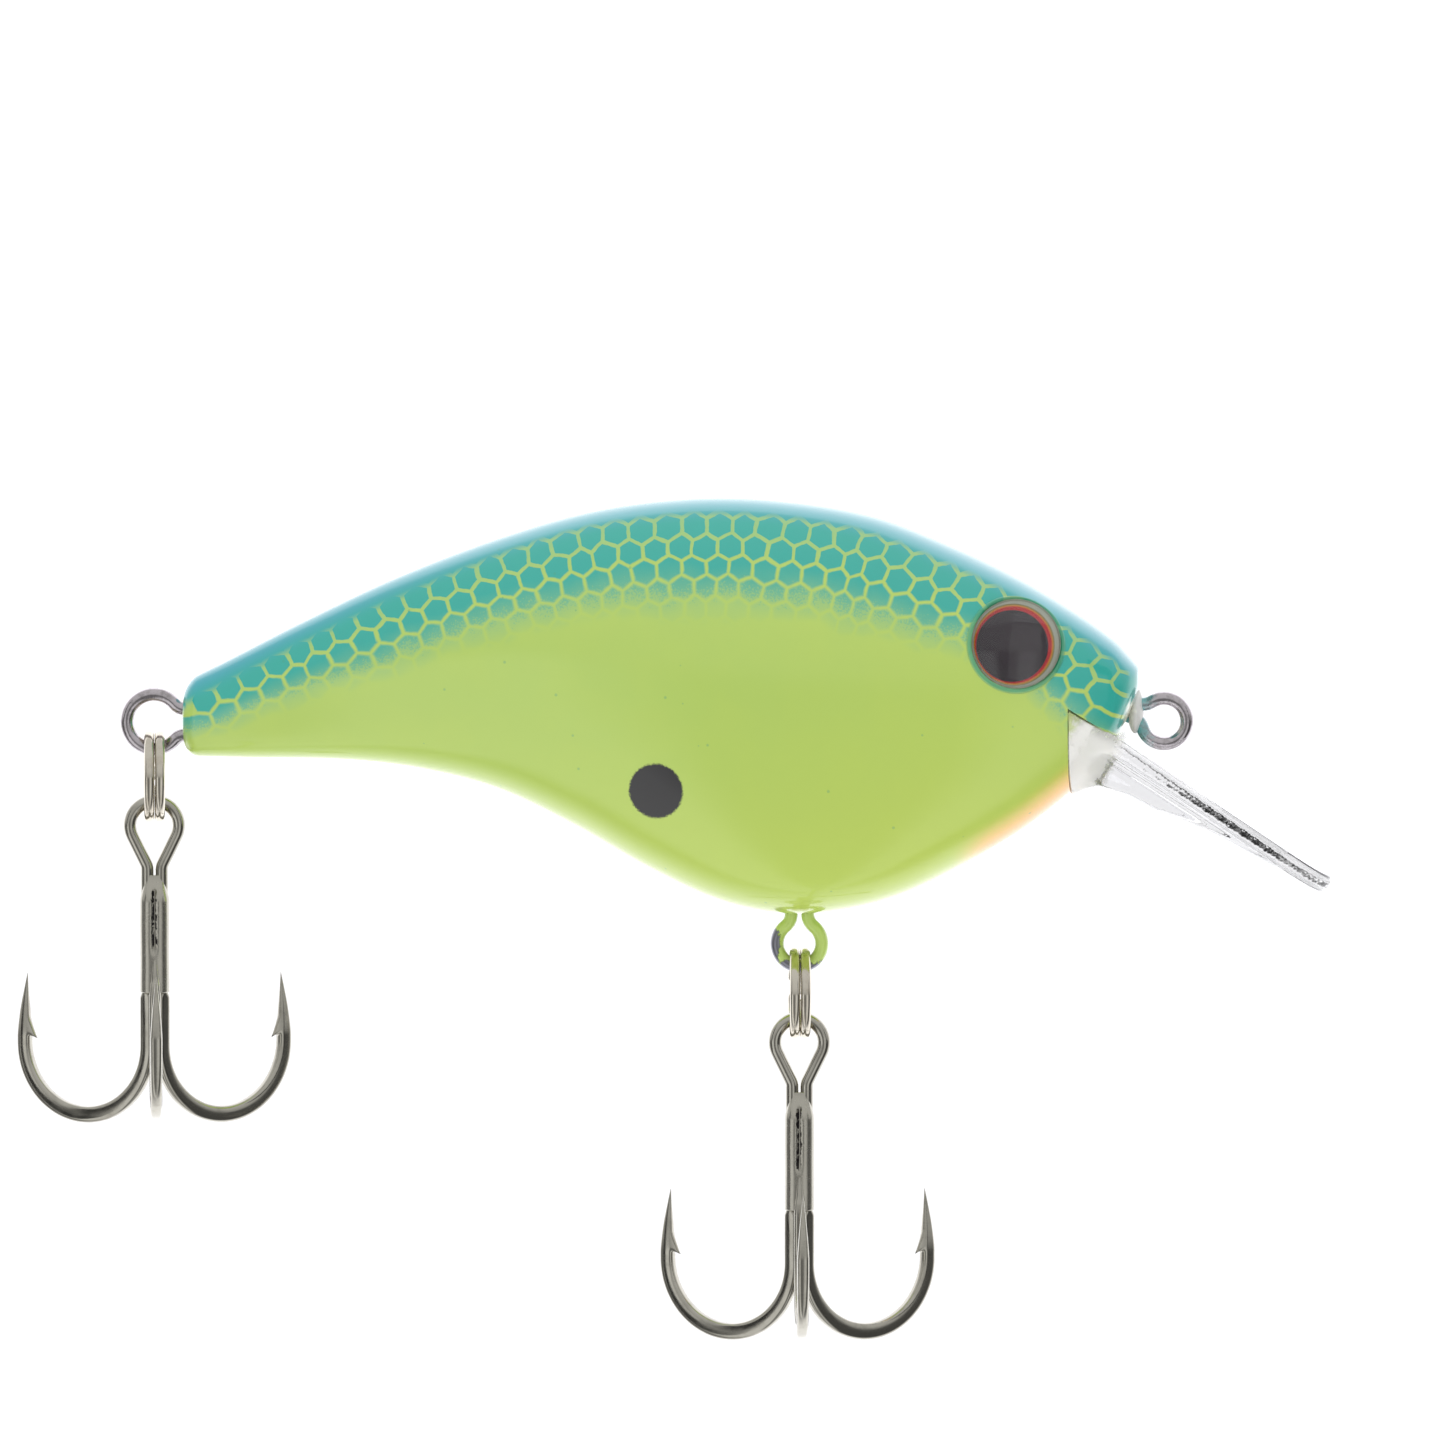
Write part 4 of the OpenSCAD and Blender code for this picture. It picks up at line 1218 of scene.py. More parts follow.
@dataclass
class LipSeat:
    """Seat of the lip in the head, and the clear lip itself as one filleted solid."""

    form: BodyForm
    slope: float = math.radians(32.8)
    back: float = 4.35
    level: float = 1.05
    long: float = 20.3
    tip_w: float = 14.4
    root_w: float = 7.0
    thick: float = 1.15
    corner: float = 3.2
    rib_w: float = 3.4
    gap: float = -0.03
    edge: float = 0.32
    fillet: float = 1.2
    block_long: float = 2.3
    block_scale: float = 3.2
    rib_share: float = 0.82
    pitch: float = 0.17
    rib_line: Array = field(default_factory=lambda: np.array([
        [-7.0, -3.9], [-4.2, -4.1], [-2.2, -4.75], [-0.5, -5.65], [3.3, -7.15], [8.0, -9.6], [16.0, -14.4]]))

    def root_x(self) -> float:
        """Place of the back of the root."""
        return self.form.nose_x - self.back

    def on_face(self, x: Array, z: Array) -> tuple[Array, Array]:
        """Distance ahead of the root along the upper face of the bill, and depth below the face."""
        forward, rise = x - self.root_x(), z - self.level
        c, s = math.cos(self.slope), math.sin(self.slope)
        return forward * c - rise * s, -forward * s - rise * c

    def notch_tool(self) -> bpy.types.Object:
        """Wedge below the face of the bill that cuts the seat in the head."""
        x, far, low, wide = self.root_x(), 14.0, -12.0, 10.0
        drop = (far - x) * math.tan(self.slope)
        outline = np.array([[x, self.level], [far, self.level - drop], [far, low - 6], [x, low]])
        ring = np.stack([outline[:, 0], 0 * outline[:, 0], outline[:, 1]], -1)
        grid = np.stack([ring - [0, wide, 0], ring + [0, wide, 0]])
        return make_mesh("notch_tool", grid.reshape(-1, 3), [grid_faces(2, 4), BOX_ENDS], {})

    def distance(self, p: Array) -> Array:
        """Distance-like field of the lip, negative inside.

        The bill is a plate with a rounded outline and edge, the rib a wall above a line, and the
        block the head form below the bill. They are joined by a smooth minimum, and the back is
        cut off square.

        Args:
            p: points, one row each.

        Returns:
            The field at each point.
        """
        x, y, z = p[:, 0], p[:, 1], p[:, 2]
        root = self.root_x()
        ahead, under = self.on_face(x, z + 2 * self.gap)
        half = self.root_w / 2 + (self.tip_w - self.root_w) / 2 * np.clip(ahead / self.long, -0.2, 1)
        outline = rounded(np.abs(y) - half, ahead - self.long, self.corner)
        slab = np.abs(under - self.thick / 2) - self.thick / 2
        bill = rounded(outline, slab, self.edge)
        low = np.interp(x, self.rib_line[:, 0], self.rib_line[:, 1])
        taper = self.rib_w / 2 * (1 - 0.35 * np.clip((x + 2) / 10, 0, 1))
        rib = rounded(np.abs(y) - taper, (low - z) * 0.86, self.edge)
        rib = np.maximum(np.maximum(rib, -under), ahead - self.rib_share * self.long)
        high, deep, power = self.form.back(x), self.form.belly(x), self.form.power(x)
        across = np.abs(y / self.form.half_width(x)) ** power
        upward = np.abs((z - (high + deep) / 2) / ((high - deep) / 2)) ** power
        block = ((across + upward) ** (1 / power) - self.form.swell(x)) * self.block_scale
        block = -filleted(-block, root + self.block_long - x, self.fillet)
        block = np.maximum(block, 0.15 - under)
        joined = filleted(filleted(bill, rib, self.fillet), block, self.fillet)
        return np.maximum(np.maximum(joined, root + self.gap - x), -under)

    def surface(self) -> tuple[Array, Array]:
        """Skin of the field: one point in each grid box that the skin crosses, drawn onto it.

        The point starts at the middle of the box's crossed edges, then Newton steps along the
        slope of the field carry it to zero. Each crossed grid edge gives a quad of its four boxes.

        Returns:
            Points and quads.
        """
        low = np.array([self.root_x() - 0.4, -self.tip_w / 2 - 0.5, -11.6])
        high = np.array([self.root_x() + self.long + 0.6, self.tip_w / 2 + 0.5, 1.6])
        n = np.ceil((high - low) / self.pitch).astype(int) + 1
        axes = [low[k] + self.pitch * np.arange(n[k]) for k in range(3)]
        spots = np.stack(np.meshgrid(*axes, indexing="ij"), -1)
        f = self.distance(spots.reshape(-1, 3)).reshape(n)
        total, count = np.zeros((*(n - 1), 3)), np.zeros(n - 1)
        crossings = []
        for k in range(3):
            a = [slice(None)] * 3
            b = [slice(None)] * 3
            a[k], b[k] = slice(0, -1), slice(1, None)
            fa, fb = f[tuple(a)], f[tuple(b)]
            hit = (fa < 0) != (fb < 0)
            t = np.where(hit, fa / np.where(hit, fa - fb, 1), 0)
            at = spots[tuple(a)] + t[..., None] * self.pitch * np.eye(3)[k]
            others = [m for m in range(3) if m != k]
            for da in (0, 1):
                for db in (0, 1):
                    pick = [slice(None)] * 3
                    pick[others[0]] = slice(1 - da, n[others[0]] - da)
                    pick[others[1]] = slice(1 - db, n[others[1]] - db)
                    h = hit[tuple(pick)]
                    total += np.where(h[..., None], at[tuple(pick)], 0)
                    count += h
            crossings.append((k, others, hit, fa < 0))
        used = count > 0
        index = np.full(n - 1, -1)
        index[used] = np.arange(used.sum())
        points = total[used] / count[used][:, None]
        quads = []
        for k, others, hit, inside in crossings:
            i = np.argwhere(hit)
            i = i[(i[:, others[0]] > 0) & (i[:, others[1]] > 0)]
            i = i[(i[:, others[0]] < n[others[0]] - 1) & (i[:, others[1]] < n[others[1]] - 1)]
            e0, e1 = np.eye(3, dtype=int)[others[0]], np.eye(3, dtype=int)[others[1]]
            boxes = [i - e0 - e1, i - e1, i, i - e0]
            quad = np.stack([index[tuple(q.T)] for q in boxes], -1)
            flip = inside[tuple(i.T)] != (k == 1)
            quads.append(np.where(flip[:, None], quad, quad[:, ::-1]))
        h = 0.01
        nudges = h * np.eye(3)
        for _ in range(5):
            slope = np.stack([
                (self.distance(points + nudge) - self.distance(points - nudge)) / (2 * h)
                for nudge in nudges], -1)
            size = np.maximum((slope**2).sum(1), 0.2)
            step = (self.distance(points) / size)[:, None] * slope
            points = points - np.clip(step, -0.6 * self.pitch, 0.6 * self.pitch)
        return points, np.concatenate(quads)

    def build(self, plastic: bpy.types.Material) -> bpy.types.Object:
        """Makes and dresses the clear lip.

        Args:
            plastic: the clear plastic.

        Returns:
            The piece.
        """
        points, quads = self.surface()
        sheet = np.stack(self.on_face(points[:, 0], points[:, 2]), -1)
        obj = make_mesh("clear_lip", points, [quads], {"lip": sheet})
        obj.data.set_sharp_from_angle(angle=math.radians(48))
        return finish_piece(obj, "body", plastic, ("diving_lip",))


@dataclass
class Glue:
    """Clear bead of glue on the nose, where the legs of the line tie go in."""

    form: BodyForm
    behind: float = 0.25
    level: float = 0.75
    half: tuple[float, float, float] = (0.50, 1.0, 1.5)
    haze_and_painted_light_spot: tuple[float, float] = (3.4, 1.0)

    def build(self, plastic: bpy.types.Material) -> bpy.types.Object:
        """Makes and dresses the bead: an ellipsoid whose surface is drawn in and out by slow waves.

        Args:
            plastic: the clear plastic.

        Returns:
            The piece.
        """
        a = np.linspace(0.02, math.pi - 0.02, 40)
        profile = np.stack([np.sin(a), -np.cos(a)], -1)
        ball = turned(profile, 64)
        x, y, z = np.moveaxis(ball, -1, 0)
        wave = 1 + 0.03 * np.sin(4 * z + 3 * x) + 0.02 * np.sin(5 * y + 2)
        middle = np.array([self.form.nose_x - self.behind, 0, self.level])
        grid = ball * wave[..., None] * np.array(self.half) + middle
        # the bead sits in the milky root zone of the lip plastic: partly haze, partly painted light standing in
        # for light through clear glue
        maps = {"lip": np.broadcast_to(self.haze_and_painted_light_spot, (*grid.shape[:2], 2))}
        return finish_piece(skin("nose_glue", grid, maps), "body", plastic)


# ---------------------------------------------------------------- wire fittings


@dataclass
class Hanger:
    """Closed wire figure: an outer loop, two legs and an anchor loop inside the body."""

    node: str
    loop_r: float
    gap: float
    neck: float
    centre: Array
    ahead: Array
    up: Array
    wire_d: float = 0.86
    bend: float = 1.0
    anchor_r: float = 1.2
    opening: float = 8.0
    around: int = 28

    def trace(self) -> Trace:
        """Middle line: anchor, neck bend, leg, neck bend, loop, and back the same way.

        The loop turns from one neck to the other, and each neck bend is tangent to its loop.
        """
        across = (self.wire_d + self.gap) / 2 + self.bend
        spans = [r + self.bend for r in (self.loop_r, self.anchor_r)]
        lean = [math.degrees(math.asin(across / span)) for span in spans]
        reach = sum(math.sqrt(span**2 - across**2) for span in spans) + self.neck
        anchor = (self.anchor_r, 180 - lean[1] - self.opening)
        inner, outer = (self.bend, lean[1] - 90), (self.bend, lean[0] - 90)
        steps = [anchor, inner, (self.neck, 0), outer, (self.loop_r, 360 - 2 * lean[0]),
                 outer, (self.neck, 0), inner, anchor]
        a = math.radians(self.opening)
        start = self.centre + self.ahead * (reach + self.anchor_r * math.cos(a))
        start = start + self.up * self.anchor_r * math.sin(a)
        heading = -math.sin(a) * self.ahead + math.cos(a) * self.up
        return plane_trace(steps, start, heading, np.cross(self.ahead, self.up), 0.12)

    def build(self, finish: bpy.types.Material, slot: str) -> bpy.types.Object:
        """Makes and dresses the wire.

        Args:
            finish: its material.
            slot: slot of the record, not used.

        Returns:
            The piece.
        """
        trace = self.trace()
        r = self.wire_d / 2
        grid, along = wire_grid(trace, r, r, 2.0, self.around)
        down = grid - self.centre
        low = smooth(-(down @ self.ahead), 0.2, 1.9)
        tailward = smooth(-down[..., 0], 0.6, 1.9) * smooth((down @ self.ahead), 2.2, 0.6)
        knock = np.maximum(low, 0.85 * tailward)
        maps = {"wire": along, "knock": np.stack([along[..., 0], knock], -1)}
        obj = skin(self.node + "_wire", grid, maps)
        return finish_piece(obj, "body", finish, (self.node,))


def hung(points: Array, centre: Array, place: Place) -> Array:
    """Points turned about the vertical through a centre, as the ring and treble there hang.

    Args:
        points: rings or points with three coordinates last.
        centre: a place on the vertical.
        place: belly or tail.

    Returns:
        The turned points.
    """
    turn = math.radians({Place.BELLY: 6.0, Place.TAIL: 8.5}[place])
    c, s = math.cos(turn), math.sin(turn)
    return (points - centre) @ np.array([[c, s, 0], [-s, c, 0], [0, 0, 1]]) + centre


@dataclass
class SplitRing:
    """Two turns of flattened wire that step from one coil to the other once."""

    place: Place
    outer_d: float = 6.13
    coil: float = 0.66
    gap: float = 0.04
    cross: float = math.radians(24)
    play: float = 0.19
    wire_d: float = 0.86

    def coil_r(self) -> float:
        """Radius of the middle line."""
        return (self.outer_d - self.coil) / 2

    def centre(self) -> Array:
        """Middle of the ring, hanging in the loop above it."""
        drop = self.coil_r() - self.coil / 2 - self.play - self.wire_d / 2
        return pivot(f"{self.place.value}_ring_swing") - np.array([0, 0, drop])

    def build(self, plating: bpy.types.Material) -> bpy.types.Object:
        """Makes and dresses the ring.

        The middle line runs twice round a circle in the YZ plane; its X steps from one coil to
        the other over the crossing, half way along.

        Args:
            plating: the bright plating.

        Returns:
            The piece.
        """
        a = np.linspace(0.75 * self.cross, 2 * TURN - 0.75 * self.cross, 420)
        pitch, r = self.coil + self.gap, self.coil_r()
        shift = pitch * (smooth(a, TURN - self.cross / 2, TURN + self.cross / 2) - 0.5)
        places = self.centre() + np.stack([shift, r * np.cos(a), r * np.sin(a)], -1)
        sides = np.repeat(np.array([[1.0, 0, 0]]), len(a), 0)
        trace = Trace(places, np.gradient(places, axis=0), sides)
        grid, along = wire_grid(trace, self.coil / 2, self.coil / 2, 2.7, 24)
        hanging = hung(grid, self.centre(), self.place)
        obj = skin(f"{self.place.value}_ring_coils", hanging, {"ring": along})
        body = f"{self.place.value}_ring"
        return finish_piece(obj, body, plating, (f"{self.place.value}_split_ring",))


@dataclass
class Treble:
    """Treble hook: two hooks bent from one wire round the eye, a third laid on them, and braze."""

    place: Place
    wire_d: float = 0.83
    eye_r: float = 1.59
    eye_bend: float = 1.0
    taper: float = 26.0
    half: float = 0.47
    out: float = 0.83
    shank: float = 14.5
    third_short: float = 0.9
    third_top: float = 3.5
    braze_end: float = 11.1
    braze_power: float = 2.6
    groove_low: tuple[float, float] = (-8.7, -7.7)
    groove_top: tuple[float, float] = (-3.9, -4.5)
    groove_deep: float = 0.20
    bend_r: float = 4.64
    arm: float = 1.0
    point: float = 3.5
    barb_at: float = -0.55
    barb_high: float = 0.60
    barb_long: float = 1.25
    play: float = 0.36
    ring_coil: float = 0.66
    around: int = 28

    def centre(self) -> Array:
        """Middle of the hook eye."""
        drop = self.eye_r - self.wire_d / 2 - self.play - self.ring_coil / 2
        return pivot(f"{self.place.value}_treble_swing") - np.array([0, 0, drop])

    def arm_trace(self, start: Array, plan: float, from_side: Array) -> tuple[Trace, Array]:
        """Shank, bend, arm and point of one hook, from the top of the shank to the tip.

        Args:
            start: top of the shank.
            plan: direction of the bend in plan, in degrees.
            from_side: side direction at the top, which turns to the side of the bend on the way down.

        Returns:
            The line, and the length from the start of the bend at each station.
        """
        down = np.array([0.0, 0, -1])
        a = math.radians(plan)
        ahead = np.array([math.cos(a), math.sin(a), 0])
        side = np.cross(down, ahead)
        length = start[2] - (self.centre()[2] - self.shank) - (self.third_short if plan < 0 else 0)
        steps = [(length, 0), (self.bend_r, 180), (self.arm, 0), (self.point, 0)]
        trace = plane_trace(steps, start, down, side, 0.14)
        run = trace.run() - length
        if from_side @ side < 0:
            trace.sides = -trace.sides
        turned_in = smooth(run, -length, -1.5)[:, None]
        trace.sides = unit((1 - turned_in) * from_side + turned_in * trace.sides)
        # the point leans in a little towards the shank
        rise = np.clip(run - math.pi * self.bend_r - 0.3, 0, None)
        trace.places = trace.places - 0.012 * rise[:, None] ** 2 * ahead
        return trace, run

    def sizes(self, run: Array) -> tuple[Array, Array, Array]:
        """Half sizes and power of the wire at lengths from the start of the bend.

        The wire is round on the shank, pressed flatter round the bend, and draws down to a
        needle over the point.

        Args:
            run: lengths from the start of the bend.

        Returns:
            Half size in the plane of the bend, across it, and the power of the section.
        """
        r = self.wire_d / 2
        bend = math.pi * self.bend_r
        pressed = smooth(run, -3.5, -3.2)
        swell = np.sin(np.clip(run / bend, 0, 1) * math.pi)
        deep = r * (1 + 0.10 * pressed + 0.20 * swell)
        wide = r * (1 - 0.06 * pressed)
        left = np.clip((bend + self.arm + self.point - run) / (self.point + 0.6), 0, 1)
        needle = np.where(left < 1, 0.03 + 0.97 * (1 - (1 - left) ** 1.35) ** 1.05, 1)
        return deep * needle, wide * needle, 2 + 1.4 * pressed * np.clip(left * 2, 0, 1)

    def barbed(self, grid: Array, trace: Trace, run: Array, shank_at: Array) -> Array:
        """Raises the barb: a sliver on the inner side that grows away from the tip and ends sharply.

        Args:
            grid: rings of the wire, with its domed ends.
            trace: its middle line.
            run: lengths from the start of the bend.
            shank_at: a place on the shank that the barb faces.

        Returns:
            The rings with the barb.
        """
        dome = (len(grid) - len(run)) // 2
        rows = np.clip(np.arange(len(grid)) - dome, 0, len(run) - 1)
        start = math.pi * self.bend_r + self.arm + self.barb_at
        along = (run[rows] - start) / self.barb_long
        left = np.clip(1 - along, 0, 1)
        high = self.barb_high * np.where(along > 0, left**1.3 * smooth(along, 0, 0.12), 0)
        middle = trace.places[rows]
        inward = unit((shank_at - middle) * np.array([1, 1, 0]))
        arms = unit(grid - middle[:, None])
        facing = np.clip(np.einsum("ijk,ik->ij", arms, inward), 0, 1) ** 7
        lean = inward + np.array([0, 0, -0.8])
        return grid + (high[:, None] * facing)[..., None] * lean[:, None]

    def pair(self, plating: bpy.types.Material) -> bpy.types.Object:
        """Two hooks and the eye from one wire."""
        c = self.centre()
        a = math.radians(self.taper)
        flank = (self.eye_r * math.cos(a) - self.half - self.eye_bend * (1 - math.cos(a))) / math.sin(a)
        top = (self.eye_r + self.eye_bend) * math.sin(a) + flank * math.cos(a)
        steps = [(self.eye_bend, self.taper), (flank, 0), (self.eye_r, -180 - 2 * self.taper), (flank, 0),
                 (self.eye_bend, self.taper)]
        side = np.array([0.0, -1, 0])
        loop = plane_trace(steps, c + [-self.half, 0, -top], np.array([0.0, 0, 1]), side, 0.12)
        right, run_r = self.arm_trace(c + [self.half, 0, -top], 30, side)
        left, run_l = self.arm_trace(c + [-self.half, 0, -top], 150, side)
        whole = left.backwards().then(loop).then(right)
        run = np.concatenate([run_l[::-1], np.full(len(loop.places) - 2, run_l[0]), run_r])
        deep, wide, square = self.sizes(run)
        grid, along = wire_grid(whole, deep, wide, square, self.around)
        grid = self.barbed(grid, whole, run, c)
        obj = skin(f"{self.place.value}_hook_pair_wire", hung(grid, c, self.place), {"hook": along})
        return finish_piece(
            obj, f"{self.place.value}_treble", plating, (f"{self.place.value}_hook_pair",))

    def third(self, plating: bpy.types.Material) -> bpy.types.Object:
        """Single hook whose thinned shank lies on the pair."""
        c = self.centre()
        start = c + [0, -self.out, -self.third_top - 0.6]
        trace, run = self.arm_trace(start, -90, np.array([-1.0, 0, 0]))
        deep, wide, square = self.sizes(run)
        spear = 0.1 + 0.9 * smooth(run, -6.4, -2.2)
        grid, along = wire_grid(trace, deep * spear, wide * spear, square, self.around)
        grid = self.barbed(grid, trace, run, c)
        obj = skin(f"{self.place.value}_hook_third_wire", hung(grid, c, self.place), {"hook": along})
        return finish_piece(
            obj, f"{self.place.value}_treble", plating, (f"{self.place.value}_hook_third",))

    def braze(self, metal: bpy.types.Material) -> bpy.types.Object:
        """Lumpy braze wrapped over the shanks.

        Each section is a super-ellipse as wide as the pair, uneven by a few slow waves, that
        draws in under the wires at both ends.
        """
        c = self.centre()
        z = np.linspace(-self.third_top + 0.25, -self.braze_end, 150)
        a = np.linspace(0, TURN, 72, endpoint=False)
        low, top = -self.braze_end, -self.third_top
        ends = smooth(z, low, low + 0.22) * smooth(z, top + 0.3, top - 1.5)
        sway = 0.004 * np.sin(1.7 * z[:, None] + 2 * a)
        wide = (self.half + self.wire_d / 2 + 0.075) * (0.62 + 0.38 * ends)[:, None] + sway
        front = 0.86 * (0.34 + 0.66 * ends)[:, None] + sway
        back = (self.wire_d / 2 + 0.16) * (0.55 + 0.45 * ends)[:, None] + sway
        power = 2 / self.braze_power
        ca, sa = np.cos(a), np.sin(a)
        x = wide * np.sign(ca) * np.abs(ca) ** power
        depth = np.where(sa < 0, front, back)
        worked = smooth(z, *self.groove_low) * smooth(z, *self.groove_top)
        groove = self.groove_deep * np.exp(-((x + 0.05) / 0.15) ** 2) * (sa < 0) * worked[:, None]
        y = depth * np.sign(sa) * np.abs(sa) ** power + groove
        grid = c + np.stack([x, y - 0.12, np.broadcast_to(z[:, None], x.shape)], -1)
        seam = np.exp(-((x + 0.05) / 0.20) ** 2) * (y < 0) * worked[:, None]
        maps = {"braze": np.stack([x, seam], -1)}
        obj = skin(f"{self.place.value}_hook_braze_skin", hung(grid, c, self.place), maps)
        return finish_piece(
            obj, f"{self.place.value}_treble", metal, (f"{self.place.value}_hook_braze",))

    def build(self, plating: bpy.types.Material, metal: bpy.types.Material) -> None:
        """Makes and dresses the three pieces of a treble."""
        self.pair(plating)
        self.third(plating)
        self.braze(metal)


# ---------------------------------------------------------------- stage


@dataclass
class Studio:
    """Pale floor, soft lights, dark flags for the metal, and the camera."""

    middle: Vector = field(default_factory=lambda: Vector((-28.73, 0, -0.23)) * MM)
    distance: float = 0.70
    view_width: float = 0.0940
    azimuth: float = math.radians(5)
    elevation: float = math.radians(3)
    floor_z: float = -0.115
    floor_glow: float = 0.12
    lights_aim: Colour = (-28, 0, 0)
    white: float = 1.05
    horizon: float = 0.03
    grade: tuple[tuple[float, float], ...] = (
        (0.0, 0.50), (0.40, 0.42), (0.495, 0.45), (0.505, 0.50), (0.62, 0.66), (1.0, 0.75))
    bars: tuple[tuple[float, float], ...] = (
        (0.22, 0.30), (0.30, 0.12), (0.35, 0.95), (0.43, 0.95), (0.46, 0.22), (0.52, 0.22),
        (0.55, 0.80), (0.60, 0.80), (0.64, 0.10), (0.73, 0.10), (0.80, 0.75))
    panel: Colour = (1.55, 1.55, 1.60)
    panel_through: Colour = (1.02, 1.02, 1.03)
    panel_from: tuple[float, float] = (0.22, 0.48)
    panel_lean: float = 0.55
    panel_top: tuple[float, float] = (0.94, 0.88)

    def floor(self) -> None:
        """Wide pale disc well below the lure."""
        a = np.linspace(0, TURN, 96, endpoint=False)
        r = np.array([10.0, 800.0, 4000.0])[:, None]
        grid = np.stack([r * np.cos(a), r * np.sin(a), np.full((3, 96), self.floor_z / MM)], -1)
        low = grid[::-1] - [0, 0, 5.0]
        obj = skin("studio_floor", np.concatenate([grid, low]))
        g = Graph("floor_paper")
        fibres = g.noise(g.place(), 0.02, 3.0)
        g.set(Base_Color=g.mix(fibres, (0.95, 0.95, 0.95), (0.90, 0.90, 0.90)), Roughness=0.9)
        g.set(Emission_Color=(1.0, 1.0, 1.0), Emission_Strength=self.floor_glow)
        obj.data.materials.append(g.material)
        obj.visible_glossy = False

    def light(self, name: str, place: Colour, size: tuple[float, float], power: float) -> None:
        """Soft rectangular light aimed at the lure, in millimetres, that gloss doesn't mirror."""
        lamp = bpy.data.lights.new(name, "AREA")
        lamp.shape = "RECTANGLE"
        lamp.size, lamp.size_y = size[0] * MM, size[1] * MM
        lamp.energy = power
        obj = bpy.data.objects.new(name, lamp)
        obj.location = Vector(place) * MM
        aim = Vector(self.lights_aim) * MM - obj.location
        obj.rotation_euler = aim.to_track_quat("-Z", "Y").to_euler()
        obj.visible_glossy = False
        bpy.context.scene.collection.objects.link(obj)

    def flag(self, name: str, place: Colour, size: tuple[float, float], yaw: float) -> None:
        """Dark card that the camera doesn't see, for contrast in the metal."""
        w, h, t = size[0] / 2, size[1] / 2, 2.0
        c, s = math.cos(yaw), math.sin(yaw)
        ring = np.array([[-w, -t], [w, -t], [w, t], [-w, t]]) @ np.array([[c, s], [-s, c]])
        low, high = (
            np.concatenate([ring, np.full((4, 1), level)], -1) + np.array(place) for level in (-h, h))
        obj = make_mesh(name, np.concatenate([low, high]), [grid_faces(2, 4), BOX_ENDS], {})
        g = Graph(name + "_cloth")
        weave = g.noise(g.place(), 0.05)
        g.set(Base_Color=g.mix(weave, (0.02, 0.02, 0.02), (0.03, 0.03, 0.03)), Roughness=0.95)
        obj.data.materials.append(g.material)
        obj.visible_camera = False
        obj.visible_diffuse = False
        obj.visible_shadow = False

    def sky(self) -> None:
        """World: white where it is seen directly, and a soft graded room where it only lights.

        In front and below the horizon the room has upright bars, which the wires and hooks
        mirror. Behind the lure a bright panel reaches from low down to nearly overhead. It is
        dimmer through clear plastic, so that the lip shows against it.
        """
        world = bpy.data.worlds.new("studio_room")
        bpy.context.scene.world = world
        g = Tree(world)
        ray = g.node("LightPath", {})
        x, y, z = g.split(g.node("TexCoord", {}).outputs["Generated"])
        height = g.node("MapRange", {0: z, 1: -1.0, 2: 1.0}).outputs[0]
        below = g.node("MapRange", {0: z, 1: self.horizon, 2: -self.horizon}).outputs[0]
        turn = g.math("ARCTAN2", x, g.math("MULTIPLY", y, -1.0))
        about = g.node("MapRange", {0: turn, 1: -math.pi, 2: math.pi}).outputs[0]
        room = g.mix(below, g.ramp(height, self.grade), g.ramp(about, self.bars))
        # the panel starts nearer the front the lower it is seen
        start = g.math("MULTIPLY_ADD", g.math("MINIMUM", z, 0.0), self.panel_lean, self.panel_from[0])
        behind = g.step(y, start, self.panel_from[1])
        share = g.math("MULTIPLY", behind, g.step(z, *self.panel_top))
        panel = g.mix(ray.outputs["Is Transmission Ray"], self.panel, self.panel_through)
        lit = g.node("Background", {0: g.mix(share, room, panel)})
        seen = g.node("Background", {0: (1.0, 1.0, 1.0), 1: self.white})
        camera = ray.outputs["Is Camera Ray"]
        pick = g.node("MixShader", {0: camera, 1: lit.outputs[0], 2: seen.outputs[0]})
        g.node("OutputWorld", {0: pick.outputs[0]})

    def camera(self) -> None:
        """Long lens at the height of the lure, a little towards the nose and above."""
        lens = bpy.data.cameras.new("studio_camera")
        lens.sensor_width = 36.0
        lens.lens = lens.sensor_width * self.distance / self.view_width
        lens.clip_start, lens.clip_end = 0.01, 50.0
        obj = bpy.data.objects.new("studio_camera", lens)
        back = Vector((
            math.sin(self.azimuth) * math.cos(self.elevation),
            -math.cos(self.azimuth) * math.cos(self.elevation), math.sin(self.elevation)))
        obj.location = self.middle + back * self.distance
        obj.rotation_euler = (-back).to_track_quat("-Z", "Y").to_euler()
        bpy.context.scene.collection.objects.link(obj)
        bpy.context.scene.camera = obj

    def build(self) -> None:
        """Sets the stage."""
        scene = bpy.context.scene
        scene.view_settings.view_transform = "Standard"
        scene.view_settings.look = "None"
        self.floor()
        self.sky()
        self.light("top_box", (-40, -120, 420), (520, 360), 0.72)
        self.light("front_fill", (-180, -560, 160), (700, 700), 0.52)
        self.flag("flag_left", (-420, -260, 20), (220, 420), math.radians(60))
        self.flag("flag_right", (360, -300, 20), (200, 420), math.radians(-55))
        self.camera()


# ---------------------------------------------------------------- the lure


def dress_node(node: str, material: bpy.types.Material) -> None:
    """Gives a frame node that stays its finish.

    Args:
        node: name of the node.
        material: its finish.
    """
    obj = frame["nodes"][node]
    obj.data.materials.clear()
    obj.data.materials.append(material)
    LOG.info("%s: frame node, dressed", node)


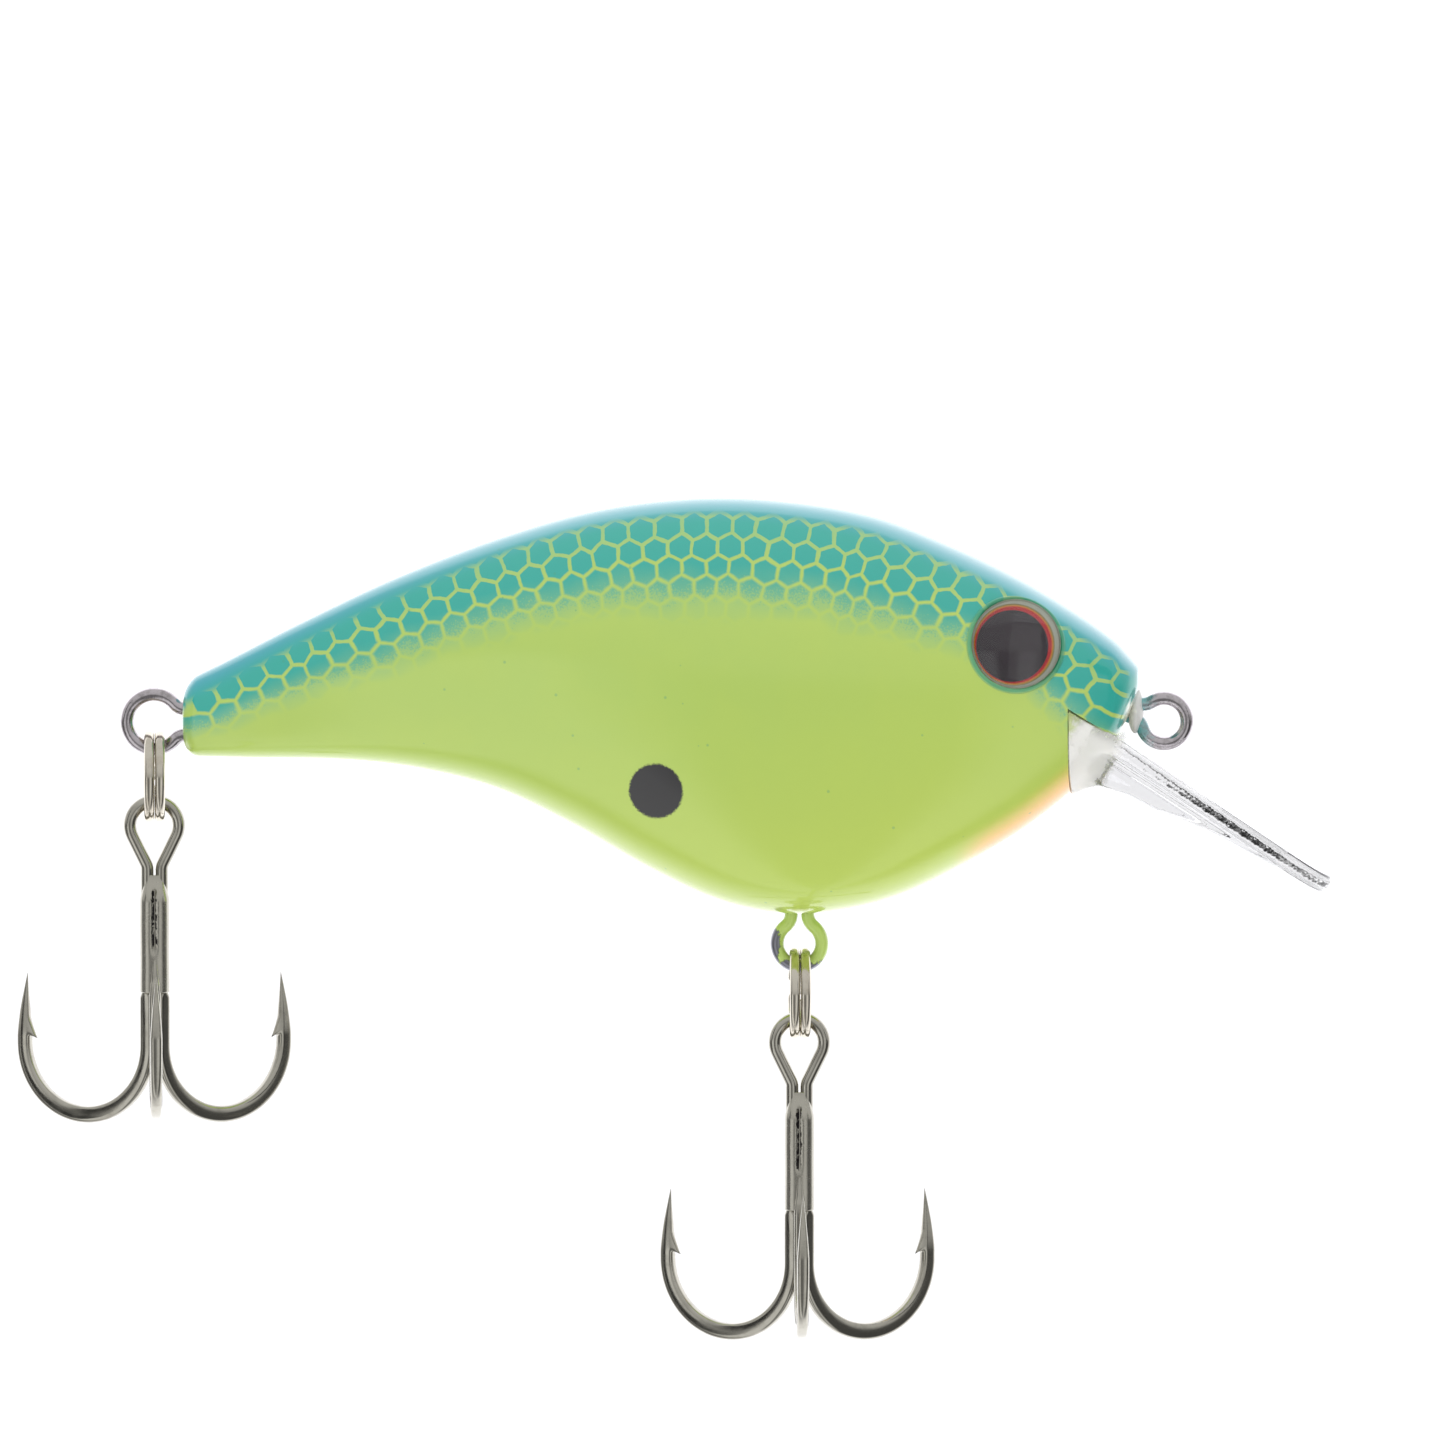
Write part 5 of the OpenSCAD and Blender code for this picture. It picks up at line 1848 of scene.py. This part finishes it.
def hangers(form: BodyForm) -> list[tuple[Hanger, bpy.types.Material, str]]:
    """The three wire fittings with their finishes.

    Args:
        form: the body.

    Returns:
        Hanger, material and slot of each.
    """
    rise = math.radians(20)
    back_up = np.array([-math.cos(rise), 0, math.sin(rise)])
    down = np.array([-math.sin(rise), 0, -math.cos(rise)])
    tie = Hanger("line_tie", 1.47, 0.14, 4.4, np.zeros(3), back_up, down)
    belly = Hanger("belly_hanger", 1.45, 0.22, 2.2, pivot("belly_ring_swing") + [0, 0, 1.45],
                   np.array([0.0, 0, 1]), np.array([-1.0, 0, 0]))
    tail = Hanger("tail_hanger", 1.78, 0.82, 2.5, pivot("tail_ring_swing") + [0, 0, 1.78],
                  np.array([1.0, 0, 0]), np.array([0.0, 0, 1]))
    return [
        (tie, BareWire("tie_wire", form.nose_x - 0.4, form.nose_x + 1.2).build(), "steel_wire"),
        (belly, ChippedWire().build(), "painted_wire"),
        (tail, BareWire("tail_wire").build(), "steel_wire"),
    ]


def main() -> None:
    """Builds every piece of the lure, then the studio."""
    logging.basicConfig(level=logging.INFO, format="%(name)s: %(message)s")
    form = BodyForm()
    eye, lip = EyeSeat(form), LipSeat(form)
    body = Body(form, eye, lip)
    paint = BodyPaint().build()
    body.build(paint)
    plastic = LipPlastic().build()
    lip.build(plastic)
    Glue(form).build(plastic)
    foil, lens = FoilPrint().build(), LensPlastic().build()
    for side in Side:
        Eye(eye, side).build(foil, lens, paint, body)
    for hanger, finish, slot in hangers(form):
        hanger.build(finish, slot)
    ring = Plating(
        "ring_plating", from_screen(214, 208, 194), from_screen(168, 152, 130), 0.07, 0.17, "ring")
    hook = Plating(
        "hook_plating", from_screen(186, 183, 172), from_screen(140, 136, 126), 0.10, 0.20, "hook")
    ring_metal, hook_metal, braze = ring.build(), hook.build(), BrazeMetal().build()
    for place in Place:
        SplitRing(place).build(ring_metal)
        Treble(place).build(hook_metal, braze)
    slug = CastMetal("cast_slug", (0.30, 0.31, 0.34), 0.35, 1.5).build()
    dress_node("ballast_slug", slug)
    ball = CastMetal("ball_steel", (0.62, 0.61, 0.60), 0.10, 2.5).build()
    for node in ("rattle_ball_front", "rattle_ball_rear"):
        dress_node(node, ball)
    Studio().build()


if __name__ == "__main__":
    main()
